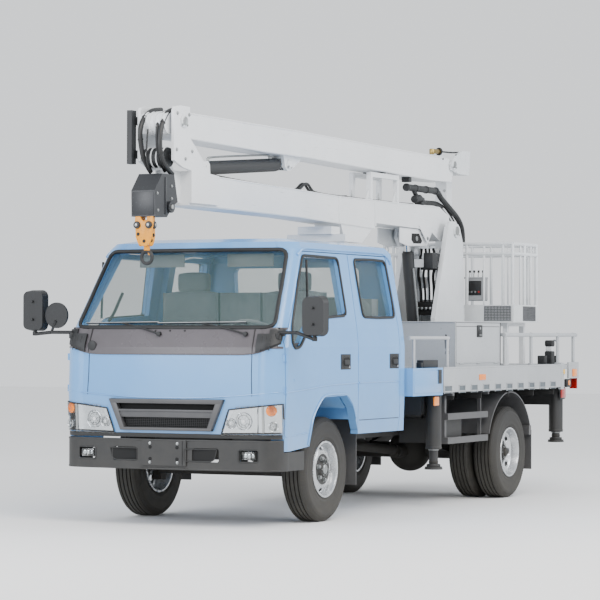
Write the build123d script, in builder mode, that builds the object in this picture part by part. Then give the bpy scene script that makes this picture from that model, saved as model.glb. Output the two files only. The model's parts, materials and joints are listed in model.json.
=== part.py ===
"""Crew cab truck with a folding two-arm work boom, a man basket, a winch and four outriggers.

Millimetres. +X forward, +Y left, +Z up, ground at Z = 0, origin under the middle of the truck's box.
"""

import os
from math import hypot

from build123d import *

# Driving dimensions
axle_x = 1836.0  # front axle ahead of the origin
wheelbase = 3360.0
running_gap = 0.3  # between seated pieces on different bodies
move_gap = 6.0  # between pieces that pass each other
shut_gap = 6.0  # round a door

# Wheels
tyre_radius = 387.5
tyre_width = 200.0
tyre_corner = 45.0
rim_radius = 206.0
rim_wall = 8.0
hub_radius = 84.0
front_track_half = 700.0
twin_centre = 724.0
twin_spacing = 226.0
bead_fit = 1.0
hand_hole_radius = 24.0
hand_hole_circle = 148.0
hand_holes = 8
nut_circle = 62.0
nut_count = 6

# Chassis
rail_y = 350.0
rail_width = 70.0
rail_low = 560.0
rail_high = 740.0
rail_front = 780.0
rail_rear = -4580.0
rail_wall = 8.0
spring_y = 385.0
spring_width = 60.0
subframe_top = 1080.0

# Cab
cab_rear = -1195.0
cab_half = 898.0
cab_wall = 60.0
cab_floor = 830.0
rear_floor = 748.0
floor_plate = 40.0
sill_front = 551.0
sill_rear = 645.0
glass = 8.0
glass_fit = 0.5
door_front_x = 866.0
pillar_x = -345.0
hinge_x = pillar_x - shut_gap
rear_door_end = -1112.0
arch_front = 472.0
arch_rear = -310.0
arch_top = 930.0
door_top = 1985.0

# Bumper and front
bumper_half = 888.0
bumper_low = 411.0
bumper_high = 629.0
bumper_front = 1030.0

# Deck and what stands on it
deck_front = -1840.0
deck_rear = -5019.0
board_rear = -4526.0
deck_top = 1122.0
deck_half = 960.0
board = 28.0
board_low = 922.0
cabinet_front = -2228.0
cabinet_rear = -3217.0
cabinet_half = 899.0
cabinet_top = 1492.0
cabinet_wall = 12.0
rail_tube = 17.0
rail_top = 1387.0
rail_half = 915.0

# Slewing turret
slew_x = -3735.0
pedestal_radius = 260.0
ring_radius = 330.0
ring_low = 1170.0
ring_high = 1230.0
base_plate = 35.0
plate_half = 215.0
plate_thick = 30.0
turret_top = 2385.0

# Booms
lower_pin = (-3873.0, 2304.0)
upper_pin = (1023.0, 2910.0)
tip_pin = (-3990.0, 2900.0)
lower_half = 125.0
upper_half = 115.0
pin_radius = 32.0
heel_pin = 40.0
pin_play = 0.05
knuckle_half = 150.0
knuckle_plate = 24.0
lift_base = (-3450.0, 1350.0)
lift_ear = (-3278.0, 2223.0)
fold_base = (510.0, 2605.0)
fold_ear = (-839.0, 2714.0)
eye_width = 70.0
eye_radius = 48.0
barrel_radius = 52.0
rod_radius = 30.0

# Basket
basket_front = -4180.0
basket_rear = -4800.0
basket_half = 640.0
basket_low = 1500.0
basket_top = 2215.0
toe_top = 1655.0
mast_front = -4165.0
mast_depth = 125.0
mast_y = -55.0
mast_width = 108.0

# Outriggers
jack_front_x = -1850.0
jack_rear_x = -4640.0
jack_y = 868.0
jack_radius = 55.0
jack_rod = 36.0
foot_radius = 70.0
front_foot_low = 305.0
rear_foot_low = 426.0

# Winch and hook
winch_half = 95.0
hook_x = 1304.0
hook_pin_z = 2147.0
hook_pin = 14.0
drum_radius = 76.0


def fore(x):
    """Place of a point measured forward from the front axle."""
    return axle_x + x


def block(x, y, z, mode=Mode.ADD):
    """Box between low and high values, x measured from the front axle."""
    with Locations((fore(sum(x) / 2), sum(y) / 2, sum(z) / 2)):
        Box(abs(x[1] - x[0]), abs(y[1] - y[0]), abs(z[1] - z[0]), mode=mode)


def bar(start, end, radius, mode=Mode.ADD):
    """Round bar between two points, x measured from the front axle."""
    a = Vector(fore(start[0]), start[1], start[2])
    b = Vector(fore(end[0]), end[1], end[2])
    with Locations(Plane(origin=a, z_dir=b - a)):
        Cylinder(radius, (b - a).length, align=(Align.CENTER, Align.CENTER, Align.MIN), mode=mode)


def cross_bar(x, z, y, radius, mode=Mode.ADD):
    """Round bar across the truck from y[0] to y[1]."""
    bar((x, y[0], z), (x, y[1], z), radius, mode)


def side_face(points, y, grow=0.0, round_by=0.0):
    """Face with a side outline at y, its corners rounded and its edge moved outward."""
    with BuildSketch(Plane.XZ.offset(-y)) as face:
        with BuildLine():
            Polyline(*[(fore(x), z) for x, z in points], close=True)
        make_face()
        if round_by:
            fillet(face.vertices(), round_by)
        if grow:
            offset(amount=grow, kind=Kind.INTERSECTION)
    return face.sketch


def side_plate(points, y, mode=Mode.ADD, grow=0.0, round_by=0.0):
    """Plate with a side outline, from y[0] to y[1]."""
    extrude(side_face(points, y[1], grow, round_by), amount=y[1] - y[0], mode=mode)


def side_pair(points, inner, outer, mode=Mode.ADD):
    """Left and right plates with one side outline."""
    for y in ((inner, outer), (-outer, -inner)):
        side_plate(points, y, mode)


def save(piece, label):
    piece.part.label = label
    export_step(piece.part, f"parts/{label}.step")


def save_pair(piece, label):
    """Left piece and its mirror image on the right."""
    save(piece, f"{label}_left")
    with BuildPart() as right:
        mirror(piece.part, about=Plane.XZ)
    save(right, f"{label}_right")


os.makedirs("parts", exist_ok=True)

# Wheels: a revolved tyre and a dished rim with hand holes
half = tyre_width / 2


def tyre_ring(y):
    """Tyre whose middle is at y, about the wheel's axis, in the frame of the wheel."""
    with BuildSketch(Plane.XY) as section:
        with BuildLine():
            inner = rim_radius + bead_fit
            Polyline(
                (inner, y - half + 20),
                (inner, y + half - 20),
                (inner + 40, y + half - 4),
                (tyre_radius - 75, y + half),
                (tyre_radius - 18, y + half - 14),
                (tyre_radius, y + half - tyre_corner),
                (tyre_radius, y - half + tyre_corner),
                (tyre_radius - 18, y - half + 14),
                (tyre_radius - 75, y - half),
                (inner + 40, y - half + 4),
                close=True,
            )
        make_face()
    revolve(section.sketch, axis=Axis.Y)


def rim_ring(y, face):
    """Rim whose middle is at y; its disc stands towards face (+1 or -1)."""
    disc = y + face * 18
    with BuildSketch(Plane.XY) as section:
        with BuildLine():
            Polyline(
                (hub_radius, disc - rim_wall),
                (150, disc - rim_wall + face * 26),
                (rim_radius - 30, disc - rim_wall),
                (rim_radius - 30, y - half + 24),
                (rim_radius - rim_wall, y - half + 16),
                (rim_radius - rim_wall, y - half + 10),
                (rim_radius, y - half + 10),
                (rim_radius, y + half - 10),
                (rim_radius - rim_wall, y + half - 10),
                (rim_radius - 22, y + half - 24),
                (rim_radius - 22, disc + rim_wall),
                (150, disc + rim_wall + face * 26),
                (hub_radius, disc + rim_wall),
                close=True,
            )
        make_face()
    revolve(section.sketch, axis=Axis.Y)
    with Locations(Plane(origin=(0, disc, 0), z_dir=(0, 1, 0))):
        with PolarLocations(hand_hole_circle, hand_holes):
            Cylinder(hand_hole_radius, 140, mode=Mode.SUBTRACT)


def wheel_pieces(name, x, y, twin):
    """Tyre and rim solids of a left wheel, and their mirrored right ones."""
    middles = (y - twin_spacing / 2, y + twin_spacing / 2) if twin else (y,)
    with BuildPart() as tyre:
        for middle in middles:
            tyre_ring(middle)
    with BuildPart() as rim:
        if twin:
            rim_ring(middles[0], 1)
            rim_ring(middles[1], -1)
            inner, nose = middles[0] - 12, middles[1] + half - 50
        else:
            rim_ring(y, 1)
            inner, nose = y - 12, y + half - 20
        with Locations(Plane(origin=(0, inner, 0), z_dir=(0, 1, 0))):
            Cylinder(hub_radius + 1, nose - inner - 30, align=(Align.CENTER, Align.CENTER, Align.MIN))
            with PolarLocations(nut_circle, nut_count):
                Cylinder(11, nose - inner, align=(Align.CENTER, Align.CENTER, Align.MIN))
    for piece, label in ((tyre, "tyre"), (rim, "rim")):
        piece.part.locate(Location((fore(x), 0, tyre_radius)))
        save_pair(piece, f"{label}_{name}")


wheel_pieces("front", 0.0, front_track_half, False)
wheel_pieces("rear", -wheelbase, twin_centre, True)

# Steering knuckles: an upright on a kingpin with a stub axle that the wheel turns on
kingpin_y = 640.0
kingpin_radius = 30.0
knuckle_height = 80.0
fork_plate = 30.0
with BuildPart() as knuckle:
    low, high = tyre_radius - knuckle_height, tyre_radius + knuckle_height
    bar((0, kingpin_y, low), (0, kingpin_y, high), kingpin_radius)
    bar((0, kingpin_y, tyre_radius), (0, front_track_half - 12 - running_gap, tyre_radius), 42)
save_pair(knuckle, "steering_knuckle")

# Front axle: a dropped beam with forked ends, and its leaf springs
with BuildPart() as front_axle:
    reach = kingpin_y - kingpin_radius - move_gap
    block((-40, 40), (-reach, reach), (tyre_radius - 60, tyre_radius + 20))
    for side in (1, -1):
        block((-38, 38), (side * (reach - 25), side * reach), (low - fork_plate, high + fork_plate))
        for z in (low - fork_plate, high + running_gap):
            block((-38, 38), (side * (reach - 25), side * (kingpin_y + 22)), (z, z + fork_plate - running_gap))
        y = (side * (spring_y - 30), side * (spring_y + 30))
        block((-60, 60), y, (tyre_radius + 20, tyre_radius + 60))
        with BuildSketch(Plane.XZ.offset(-side * spring_y)):
            with BuildLine():
                Polyline(
                    (fore(-560), 557), (fore(-300), 478), (fore(0), tyre_radius + 60), (fore(300), 478),
                    (fore(560), 557), (fore(560), 520), (fore(300), 440), (fore(0), tyre_radius + 20),
                    (fore(-300), 440), (fore(-560), 520), close=True,
                )
            make_face()
        extrude(amount=spring_width / 2, both=True)
save(front_axle, "front_axle")

# Rear axle: tube, differential and leaf springs
with BuildPart() as rear_axle:
    end = twin_centre - twin_spacing / 2 - 12 - running_gap
    cross_bar(-wheelbase, tyre_radius, (-end, end), 68)
    with Locations((fore(-wheelbase), 0, tyre_radius)):
        Sphere(185)
    bar((-wheelbase + 150, 0, tyre_radius), (-wheelbase + 330 - running_gap, 0, tyre_radius), 60)
    for side in (1, -1):
        with BuildSketch(Plane.XZ.offset(-side * spring_y)):
            with BuildLine():
                Polyline(
                    (fore(-wheelbase - 640), 556), (fore(-wheelbase - 300), 500),
                    (fore(-wheelbase), 450), (fore(-wheelbase + 300), 500), (fore(-wheelbase + 640), 556),
                    (fore(-wheelbase + 640), 516), (fore(-wheelbase + 300), 420),
                    (fore(-wheelbase), 370), (fore(-wheelbase - 300), 420), (fore(-wheelbase - 640), 516),
                    close=True,
                )
            make_face()
        extrude(amount=spring_width / 2 - 10, both=True)
save(rear_axle, "rear_axle")

bumper_bracket = 969.5
fender_ring = 130.0
fender_wall = 10.0
fender_top = 2 * tyre_radius + fender_ring - fender_wall - 0.95
# Ladder frame: two channel rails, cross members, spring hangers and the boom's subframe on top
with BuildPart() as frame:
    for side in (1, -1):
        y = (side * rail_y, side * (rail_y + rail_width))
        block((rail_rear, rail_front), y, (rail_low, rail_high))
        hollow = (side * (rail_y - 1), side * (rail_y + rail_width - rail_wall))
        block((rail_rear - 1, rail_front + 1), hollow, (rail_low + rail_wall, rail_high - rail_wall), Mode.SUBTRACT)
        for x in (-560, 560, -wheelbase - 640, -wheelbase + 640):
            across = (side * (spring_y - 34), side * (spring_y + 34))
            block((x - 34, x + 34), across, (rail_low - 3, rail_low + 2))
        y = (side * rail_y, side * (rail_y + rail_width))
        block((rail_rear, deck_front - 180), y, (rail_high, subframe_top - 60))
        block((-1040, -960), y, (rail_high, rear_floor))
        block((-330, -300), y, (rail_high, rear_floor))
        block((rail_front - 1, bumper_bracket), (side * 405, side * 432), (575, 615))
        arm_y = (side * (rail_y + rail_width), side * 505)
        block((-wheelbase - 30, -wheelbase + 30), arm_y, (fender_top - 20, fender_top))
    web = rail_y + rail_width - rail_wall
    for x in (700, -1150, -1600, -2500, -4000, -4500):
        block((x - 35, x + 35), (-web, web), (rail_high - 80, rail_high - rail_wall - 2))
save(frame, "chassis_frame")

# Engine and gearbox as one plain block, propeller shaft behind it
with BuildPart() as engine:
    block((-290, 620), (-300, 300), (470, 790))
    block((-1000, -290), (-140, 140), (480, 650))
    bar((-1000, 0, 560), (-wheelbase + 360, 0, tyre_radius + 12), 40)
    with Locations((fore(-wheelbase + 345), 0, tyre_radius + 12)):
        Box(30, 80, 80)
save(engine, "engine_block")


def cab_section(z, half_width, side_x, front_x, rear_x):
    """Plan outline of the cab at height z: straight sides, rounded corners, a bowed front."""
    corner_x, corner_y = front_x - 42, half_width * 0.8
    with BuildSketch(Plane.XY.offset(z)) as section:
        with BuildLine():
            Polyline(
                (fore(side_x), -half_width), (fore(rear_x), -half_width),
                (fore(rear_x), half_width), (fore(side_x), half_width),
            )
            middle = (fore(side_x + (corner_x - side_x) * 0.74), half_width - (half_width - corner_y) * 0.28)
            ThreePointArc((fore(side_x), half_width), middle, (fore(corner_x), corner_y))
            ThreePointArc((fore(corner_x), corner_y), (fore(front_x), 0), (fore(corner_x), -corner_y))
            ThreePointArc((fore(corner_x), -corner_y), (middle[0], -middle[1]), (fore(side_x), -half_width))
        make_face()
    return section.sketch


# Height, half width, side end, front and rear of the cab's sections
cab_table = (
    (sill_front, 890, 830, 985, cab_rear),
    (930, cab_half, 850, 1008, cab_rear - 8),
    (1290, cab_half, 835, 990, cab_rear - 10),
    (1432, 884, 790, 930, cab_rear - 5),
    (2012, 797, 430, 560, cab_rear + 40),
    (2058, 760, 400, 520, cab_rear + 80),
    (2086, 600, 300, 400, cab_rear + 200),
)


def cab_body(inset):
    """Solid of the cab, drawn in by an inset."""
    with BuildPart() as body:
        rows = [(z, h - inset, s - inset, f - inset, r + inset) for z, h, s, f, r in cab_table]
        for (z0, *low_row), (z1, *high_row) in zip(rows[:-1], rows[1:]):
            low = cab_section(z0 - (inset if z0 > 2000 else 0), *low_row)
            high = cab_section(z1 - (inset if z1 > 2000 else 0), *high_row)
            loft([low.face(), high.face()], ruled=True)
    return body.part


cab_outer = cab_body(0.0)
cab_inner = cab_body(cab_wall)

front_door_line = (
    (door_front_x, sill_front - 5), (door_front_x, 1330), (800, 1432), (415, door_top), (pillar_x, door_top),
    (pillar_x, sill_rear - 5),
)
rear_door_line = (
    (hinge_x, sill_rear - 5), (hinge_x, door_top),
    (-1040, door_top), (-1080, 1700), (rear_door_end, 1432), (rear_door_end, 745),
    (rear_door_end + 30, sill_rear - 5),
)
front_window = (
    (725, 1290), (760, 1330), (745, 1440), (435, 1945), (-150, 1945),
    (-172, 1525), (395, 1500), (520, 1400), (640, 1300),
)
rear_window = ((-455, 1945), (-1005, 1945), (-1055, 1525), (-490, 1525))
skin_depth = 12.0
belt_z = 1432.0


def drawn_in(edge, amount):
    """Wedge at a door's upper rear edge, so the door swings past the pillar behind it."""
    (x_low, z_low), (x_high, z_high) = edge
    return ((x_low, z_low), (x_high + amount, z_high + 1), (x_high - 30, z_high + 1), (x_low - 30, z_low))


front_edge = ((pillar_x, belt_z), (pillar_x, door_top))
rear_edge = ((rear_door_end, belt_z), (-1038, door_top))
door_edges = {"front": (front_edge, 4, 18), "rear": (rear_edge, 7, 26)}


floor_half = cab_half - cab_wall - 12
grille_fit = 0.5


def grille_face(grow):
    """Tapered outline of the grille's opening, ahead of the cab's floor."""
    with BuildSketch(Plane.YZ.offset(fore(880))) as face:
        with BuildLine():
            Polyline((-470, 917), (470, 917), (372, 690), (-372, 690), close=True)
        make_face()
        offset(amount=grow, kind=Kind.INTERSECTION)
    return face.sketch


arch_line = (
    (505, 400), (472, 600), (410, 790), (250, arch_top - 5),
    (-140, arch_top), (-262, 840), (-352, 660), (-352, 400),
)
wheelhouse_y = 560.0
wheelhouse_top = arch_top + 30
hinge_pin = 8.0
rear_hinge_pin = 5.5
hinge_bands = ((1190, 1240), (960, 1010))


def arch_cut():
    """Wheel opening through both sides of the cab."""
    side_plate(arch_line, (wheelhouse_y, 1000), Mode.SUBTRACT)
    side_plate(arch_line, (-1000, -wheelhouse_y), Mode.SUBTRACT)


# Cab shell: the body less its inside, doors and screen openings, with floors and wheel arches
with BuildPart() as cab:
    add(cab_outer)
    add(cab_inner, mode=Mode.SUBTRACT)
    for points in (front_door_line, rear_door_line):
        side_plate(points, (-1000, 1000), Mode.SUBTRACT, grow=shut_gap)
    with BuildSketch(Plane.YZ.offset(fore(430))) as screen_hole:
        with BuildLine():
            FilletPolyline(
                (-800, 1442), (800, 1442), (722, 1990), (-722, 1990), radius=45, close=True
            )
        make_face()
    extrude(amount=600, mode=Mode.SUBTRACT)
    with BuildSketch(Plane.YZ.offset(fore(cab_rear - 40))):
        with Locations((0, 1700)):
            RectangleRounded(1100, 420, 40)
    extrude(amount=200, mode=Mode.SUBTRACT)
    block((-345, 780), (-floor_half, floor_half), (cab_floor, cab_floor + floor_plate))
    block((779, 940), (-720, 720), (cab_floor, cab_floor + floor_plate))
    block((-345, -305), (-floor_half, floor_half), (rear_floor, cab_floor + floor_plate))
    block((cab_rear + cab_wall - 5, -305), (-floor_half, floor_half), (rear_floor, rear_floor + floor_plate))
    for side in (1, -1):
        block((-340, 520), (side * (wheelhouse_y - 20), side * floor_half), (cab_floor, wheelhouse_top))
    arch_cut()
    block((1100, -2000), (-1000, 1000), (400, 640), Mode.SUBTRACT)
    block((-2000, -340), (-cab_half + cab_wall, cab_half - cab_wall), (600, rear_floor), Mode.SUBTRACT)
    extrude(grille_face(grille_fit), amount=400, mode=Mode.SUBTRACT)
    with BuildPart(mode=Mode.PRIVATE) as pillars:
        add(cab_body(cab_wall + running_gap))
        add(cab_body(cab_wall + 45), mode=Mode.SUBTRACT)
        with BuildPart(mode=Mode.PRIVATE) as band:
            block((-395, -300), (-1000, 1000), (rear_floor + 1, 1985))
        add(band.part, mode=Mode.INTERSECT)
    add(pillars.part)
    for side in (1, -1):
        for low, high in hinge_bands:
            bar((door_front_x, side * cab_half, low), (door_front_x, side * cab_half, high), hinge_pin)
            strap = (side * (cab_half - cab_wall + 10), side * (cab_half - 5))
            block((door_front_x + shut_gap, door_front_x + shut_gap + 16), strap, (low, high))
            bar((hinge_x, side * cab_half, low), (hinge_x, side * cab_half, high), rear_hinge_pin)
            leaf = (side * (cab_half - cab_wall - 2), side * cab_half)
            block((hinge_x + 0.5, pillar_x - 0.5), leaf, (low, high))
save(cab, "cab_shell")

door_span = (300, 1000)
bore_fit = running_gap
pane_skin = cab_body(24.0) - cab_body(24.0 + glass)
for place, line, window in (("front", front_door_line, front_window), ("rear", rear_door_line, rear_window)):
    with BuildPart() as door:
        add(cab_outer)
        add(cab_inner, mode=Mode.SUBTRACT)
        side_plate(line, door_span, Mode.INTERSECT)
        side_plate(window, door_span, Mode.SUBTRACT, round_by=18)
        if place == "front":
            arch_cut()
        edge, skin_step, flange_step = door_edges[place]
        side_plate(drawn_in(edge, skin_step), door_span, Mode.SUBTRACT)
        with BuildPart(mode=Mode.PRIVATE) as flange:
            add(cab_body(skin_depth))
            side_plate(drawn_in(edge, flange_step), door_span, Mode.INTERSECT)
        add(flange.part, mode=Mode.SUBTRACT)
        pin_x, pin = (door_front_x, hinge_pin) if place == "front" else (hinge_x, rear_hinge_pin)
        for low, high in hinge_bands:
            bar((pin_x, cab_half, low - 1), (pin_x, cab_half, high + 1), pin + bore_fit, Mode.SUBTRACT)
    save_pair(door, f"{place}_door")
    with BuildPart() as pane:
        add(pane_skin)
        side_plate(window, door_span, Mode.INTERSECT, grow=-glass_fit, round_by=18)
    save_pair(pane, f"{place}_glass")

# Windscreen and rear window
with BuildPart() as screens:
    add(cab_body(14.0))
    add(cab_body(14.0 + glass), mode=Mode.SUBTRACT)
    with BuildSketch(Plane.YZ.offset(fore(430))):
        with BuildLine():
            FilletPolyline((-799, 1443), (799, 1443), (721, 1989), (-721, 1989), radius=45, close=True)
        make_face()
    extrude(amount=600, mode=Mode.INTERSECT)
with BuildPart() as rear_pane:
    with BuildSketch(Plane.YZ.offset(fore(cab_rear + 24))):
        with Locations((0, 1700)):
            RectangleRounded(1099, 419, 39.5)
    extrude(amount=glass)
with BuildPart() as cab_glass:
    add(screens.part)
    add(rear_pane.part)
save(cab_glass, "cab_glass")

# Seats, two in front and a bench behind, with the dashboard and steering wheel
seat_low = wheelhouse_top
with BuildPart() as seats:
    for y in (430, -430, 0):
        width, low = (240, seat_low) if y else (170, cab_floor + floor_plate)
        block((-150, 330), (y - width, y + width), (low, 1120))
        block((-270, -150), (y - width, y + width), (low, 1700))
    block((-930, -520), (-740, 740), (rear_floor + floor_plate, 1110))
    block((-1050, -930), (-740, 740), (rear_floor + floor_plate, 1660))
    dash_line = ((560, 1000), (530, 1330), (620, 1420), (760, 1400), (830, 1290), (830, 1000))
    side_plate(dash_line, (-730, 730))
    with Locations(Location((fore(430), 430, 1370), (0, -35, 0))):
        Torus(190, 16)
        Cylinder(45, 30)
        Box(370, 40, 16)
    bar((430, 430, 1365), (560, 430, 1190), 26)
save(seats, "cab_interior")

# Black cowl panel below the windscreen
cowl_skin = cab_body(-6.0)
with BuildPart() as cowl:
    add(cowl_skin)
    add(cab_outer, mode=Mode.SUBTRACT)
    with BuildSketch(Plane.YZ.offset(fore(600))):
        with BuildLine():
            Polyline(
                (-880, 1432), (-850, 1310), (-760, 1272), (760, 1272), (850, 1310), (880, 1432), close=True
            )
        make_face()
    extrude(amount=600, mode=Mode.INTERSECT)
    block((600, 700), (-1000, 1000), (1200, 1500), Mode.SUBTRACT)
save(cowl, "cowl_panel")

# Grille: a tapered frame with slats across
grille_back, grille_front = 965.0, 1022.0
with BuildPart() as grille:
    extrude(grille_face(0.0), amount=grille_front - 880)
    extrude(grille_face(-22.0), amount=grille_front - 880, mode=Mode.SUBTRACT)
    block((800, grille_back), (-600, 600), (600, 1000), Mode.SUBTRACT)
    with BuildPart(mode=Mode.PRIVATE) as back:
        extrude(grille_face(-20.0), amount=grille_back + 6 - 880)
        block((800, grille_back), (-600, 600), (600, 1000), Mode.SUBTRACT)
    add(back.part)
    for z, width in ((862, 432), (812, 410)):
        block((grille_back + 5, grille_front), (-width, width), (z - 16, z + 16))
save(grille, "grille")

# Headlamps with their corner indicators
with BuildPart() as lamps:
    add(cab_body(-9.0))
    add(cab_outer, mode=Mode.SUBTRACT)
    with BuildSketch(Plane.YZ.offset(fore(700))):
        for side in (1, -1):
            with BuildLine():
                Polyline(
                    (side * 905, 890), (side * 560, 868), (side * 430, 662), (side * 905, 668), close=True
                )
            make_face()
    extrude(amount=500, mode=Mode.INTERSECT)
    block((700, 878), (-1000, 1000), (600, 1000), Mode.SUBTRACT)
save(lamps, "headlamps")

# Front bumper: bowed, with rounded ends, lamp pockets and air slots
with BuildPart() as bumper:
    with BuildSketch(Plane.XY.offset(bumper_low)):
        with BuildLine():
            Polyline((fore(560), -868), (fore(560), -bumper_half), (fore(800), -bumper_half))
            ThreePointArc((fore(800), -bumper_half), (fore(925), -855), (fore(985), -730))
            ThreePointArc((fore(985), -730), (fore(bumper_front), 0), (fore(985), 730))
            ThreePointArc((fore(985), 730), (fore(925), 855), (fore(800), bumper_half))
            Polyline((fore(800), bumper_half), (fore(560), bumper_half), (fore(560), 868), (fore(800), 860))
            ThreePointArc((fore(800), 860), (fore(900), 820), (fore(945), 700))
            ThreePointArc((fore(945), 700), (fore(985), 0), (fore(945), -700))
            ThreePointArc((fore(945), -700), (fore(900), -820), (fore(800), -860))
            Line((fore(800), -860), (fore(560), -868))
        make_face()
    extrude(amount=bumper_high - bumper_low)
    with BuildSketch(Plane.YZ.offset(fore(700))):
        for side in (1, -1):
            with Locations((side * 660, 520)):
                RectangleRounded(150, 90, 20)
            with Locations((side * 330, 520)):
                RectangleRounded(210, 100, 20)
    extrude(amount=400, mode=Mode.SUBTRACT)
    block((1000, bumper_front + 9), (-182, 182), (440, 622))
    with BuildSketch(Plane.YZ.offset(fore(900))):
        for y in (-112.5, 112.5):
            for z in (531 - 68.5, 531 + 68.5):
                with Locations((y, z)):
                    Circle(6)
    extrude(amount=300, mode=Mode.SUBTRACT)
    block((500, 872), (-1000, 1000), (545, 640), Mode.SUBTRACT)
save(bumper, "front_bumper")

# Mirrors on their arms
with BuildPart() as mirrors:
    add(cab_body(-16.0))
    add(cowl_skin, mode=Mode.SUBTRACT)
    with BuildPart(mode=Mode.PRIVATE) as corners:
        for side in (1, -1):
            block((840, 960), (side * 790, side * 880), (1370, 1420))
    add(corners.part, mode=Mode.INTERSECT)
    for side in (1, -1):
        bar((892, side * 848, 1395), (930, side * 1010, 1395), 13)
        middle, height = (1512, 286) if side > 0 else (1556, 304)
        foot_z = middle - height / 2 - 22
        bar((930, side * 1010, 1395), (930, side * 1150, foot_z), 13)
        bar((930, side * 1150, foot_z), (930, side * 1150, foot_z + 60), 13)
        with BuildSketch(Plane.YZ.offset(fore(895))) as housing:
            with Locations((side * 1150, middle)):
                RectangleRounded(185, height, 52)
        extrude(housing.sketch, amount=70, taper=8)
    bar((930, -1010, 1395), (950, -960, 1480), 10)
    bar((925, -960, 1520), (945, -960, 1520), 95)
save(mirrors, "mirrors")

# Platform: floor, cross members, stake-pocket side boards
with BuildPart() as deck:
    inner = deck_half - board
    block((board_rear, deck_front), (-inner, inner), (subframe_top, deck_top))
    block((deck_rear, board_rear), (-inner, inner), (subframe_top, deck_top))
    for side in (1, -1):
        block((board_rear, deck_front), (side * inner, side * deck_half), (board_low, deck_top))
        block((deck_rear, -4756), (side * inner, side * (inner + 16)), (996, deck_top + 20))
    bar((slew_x, 0, subframe_top - 1), (slew_x, 0, deck_top + 1), pedestal_radius + 1, Mode.SUBTRACT)
    for step in range(8):
        x = deck_front - 200 - step * 340
        if abs(x - slew_x) > pedestal_radius + 40:
            block((x - 30, x + 30), (-inner, inner), (subframe_top - 60, subframe_top))
save(deck, "deck")

# Outrigger housings: one tube across behind the cab, one at the tail with its fixed jack tubes
beam_half_x, beam_low, beam_high = 75.0, 754.0, 886.0
with BuildPart() as housings:
    outer_x = beam_half_x + 14
    block((jack_front_x - outer_x, jack_front_x + outer_x), (-800, 800), (beam_low - 14, beam_high + 14))
    hollow = (jack_front_x - beam_half_x - running_gap, jack_front_x + beam_half_x + running_gap)
    block(hollow, (-801, 801), (beam_low - running_gap, beam_high + running_gap), Mode.SUBTRACT)
    block((jack_rear_x - 60, jack_rear_x + 60), (-jack_y, jack_y), (760, 900))
    for side in (1, -1):
        bar((jack_rear_x, side * jack_y, 520), (jack_rear_x, side * jack_y, 1075), jack_radius + 8)
        low, high = (jack_rear_x, side * jack_y, 500), (jack_rear_x, side * jack_y, 1060)
        bar(low, high, jack_rod + running_gap, Mode.SUBTRACT)
save(housings, "outrigger_frames")

# Lockers at each side behind the cab
with BuildPart() as locker:
    for side in (1, -1):
        low, high = sorted((side * 700, side * deck_half))
        block((-1823, -1225), (low, high), (903, deck_top))
save(locker, "side_lockers")

# Rest post for the booms behind the cab, and the stand below the stowed basket
with BuildPart() as boom_rest:
    for side in (1, -1):
        block((-1560, -1480), (side * 180, side * 240), (rail_high, 2130))
    block((-1570, -1470), (-260, 260), (2130, 2190))
    block((-1600, -1440), (-150, 150), (2190, 2252))
    block((-1560, -1480), (-rail_y - rail_width, rail_y + rail_width), (rail_high, rail_high + 60))
    rest_top = basket_low - move_gap
    for x in (-4300, -4700):
        for y in (-520, 520):
            block((x - 22, x + 22), (y - 22, y + 22), (deck_top, rest_top - 30))
        block((x - 22, x + 22), (-542, 542), (rest_top - 30, rest_top))
    for y in (-520, 520):
        block((-4700, -4300), (y - 20, y + 20), (rest_top - 30, rest_top - 2))
save(boom_rest, "boom_and_basket_rests")

# Tool cabinet across the deck with a side door opening on the left
lid_gap, lid_pin = 4.0, 5.0
hinge_z = deck_top + 30 + lid_gap
with BuildPart() as cabinet:
    block((cabinet_rear, cabinet_front), (-cabinet_half, cabinet_half), (deck_top, cabinet_top))
    wall = cabinet_wall
    inside_z = (deck_top + wall, cabinet_top - 24)
    block((cabinet_rear + wall, cabinet_front - wall), (-300, cabinet_half - wall), inside_z, Mode.SUBTRACT)
    mouth_y, mouth_z = (cabinet_half - 60, cabinet_half + 5), (deck_top + 30, cabinet_top - 36)
    block((cabinet_rear + 22, cabinet_front - 22), mouth_y, mouth_z, Mode.SUBTRACT)
    bar((cabinet_rear + 24, cabinet_half, hinge_z), (cabinet_front - 24, cabinet_half, hinge_z), lid_pin)
save(cabinet, "tool_cabinet")

with BuildPart() as cabinet_door:
    block(
        (cabinet_rear + 22 + lid_gap, cabinet_front - 22 - lid_gap), (cabinet_half - 18, cabinet_half),
        (hinge_z, cabinet_top - 36 - lid_gap),
    )
    pin_ends = (cabinet_rear, cabinet_half, hinge_z), (cabinet_front, cabinet_half, hinge_z)
    bar(*pin_ends, lid_pin + running_gap, Mode.SUBTRACT)
save(cabinet_door, "cabinet_door")

# Slewing pedestal
with BuildPart() as pedestal:
    bar((slew_x, 0, subframe_top - 60), (slew_x, 0, ring_low), pedestal_radius)
    bar((slew_x, 0, ring_low), (slew_x, 0, ring_high), ring_radius)
    bar((slew_x, 0, subframe_top - 61), (slew_x, 0, ring_high + 1), 60, Mode.SUBTRACT)
    block((slew_x - 300, slew_x + 300), (-rail_y, rail_y), (rail_high + 100, subframe_top - 60))
save(pedestal, "slew_pedestal")

# Guard rails round the rear of the deck
with BuildPart() as rails:
    for side in (1, -1):
        y = side * rail_half
        bar((cabinet_rear - 40, y, rail_top), (-5030, y, rail_top), rail_tube)
        for x in (cabinet_rear - 60, -3900, -4560, -4960):
            bar((x, y, deck_top), (x, y, rail_top), rail_tube - 2)
    for side in (1, -1):
        bar((-1235, side * 920, 1359), (-2030, side * 920, 1359), rail_tube - 3)
        for x in (-1330, -2005):
            bar((x, side * 920, deck_top), (x, side * 920, 1359), rail_tube - 4)
save(rails, "hand_rails")

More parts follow.
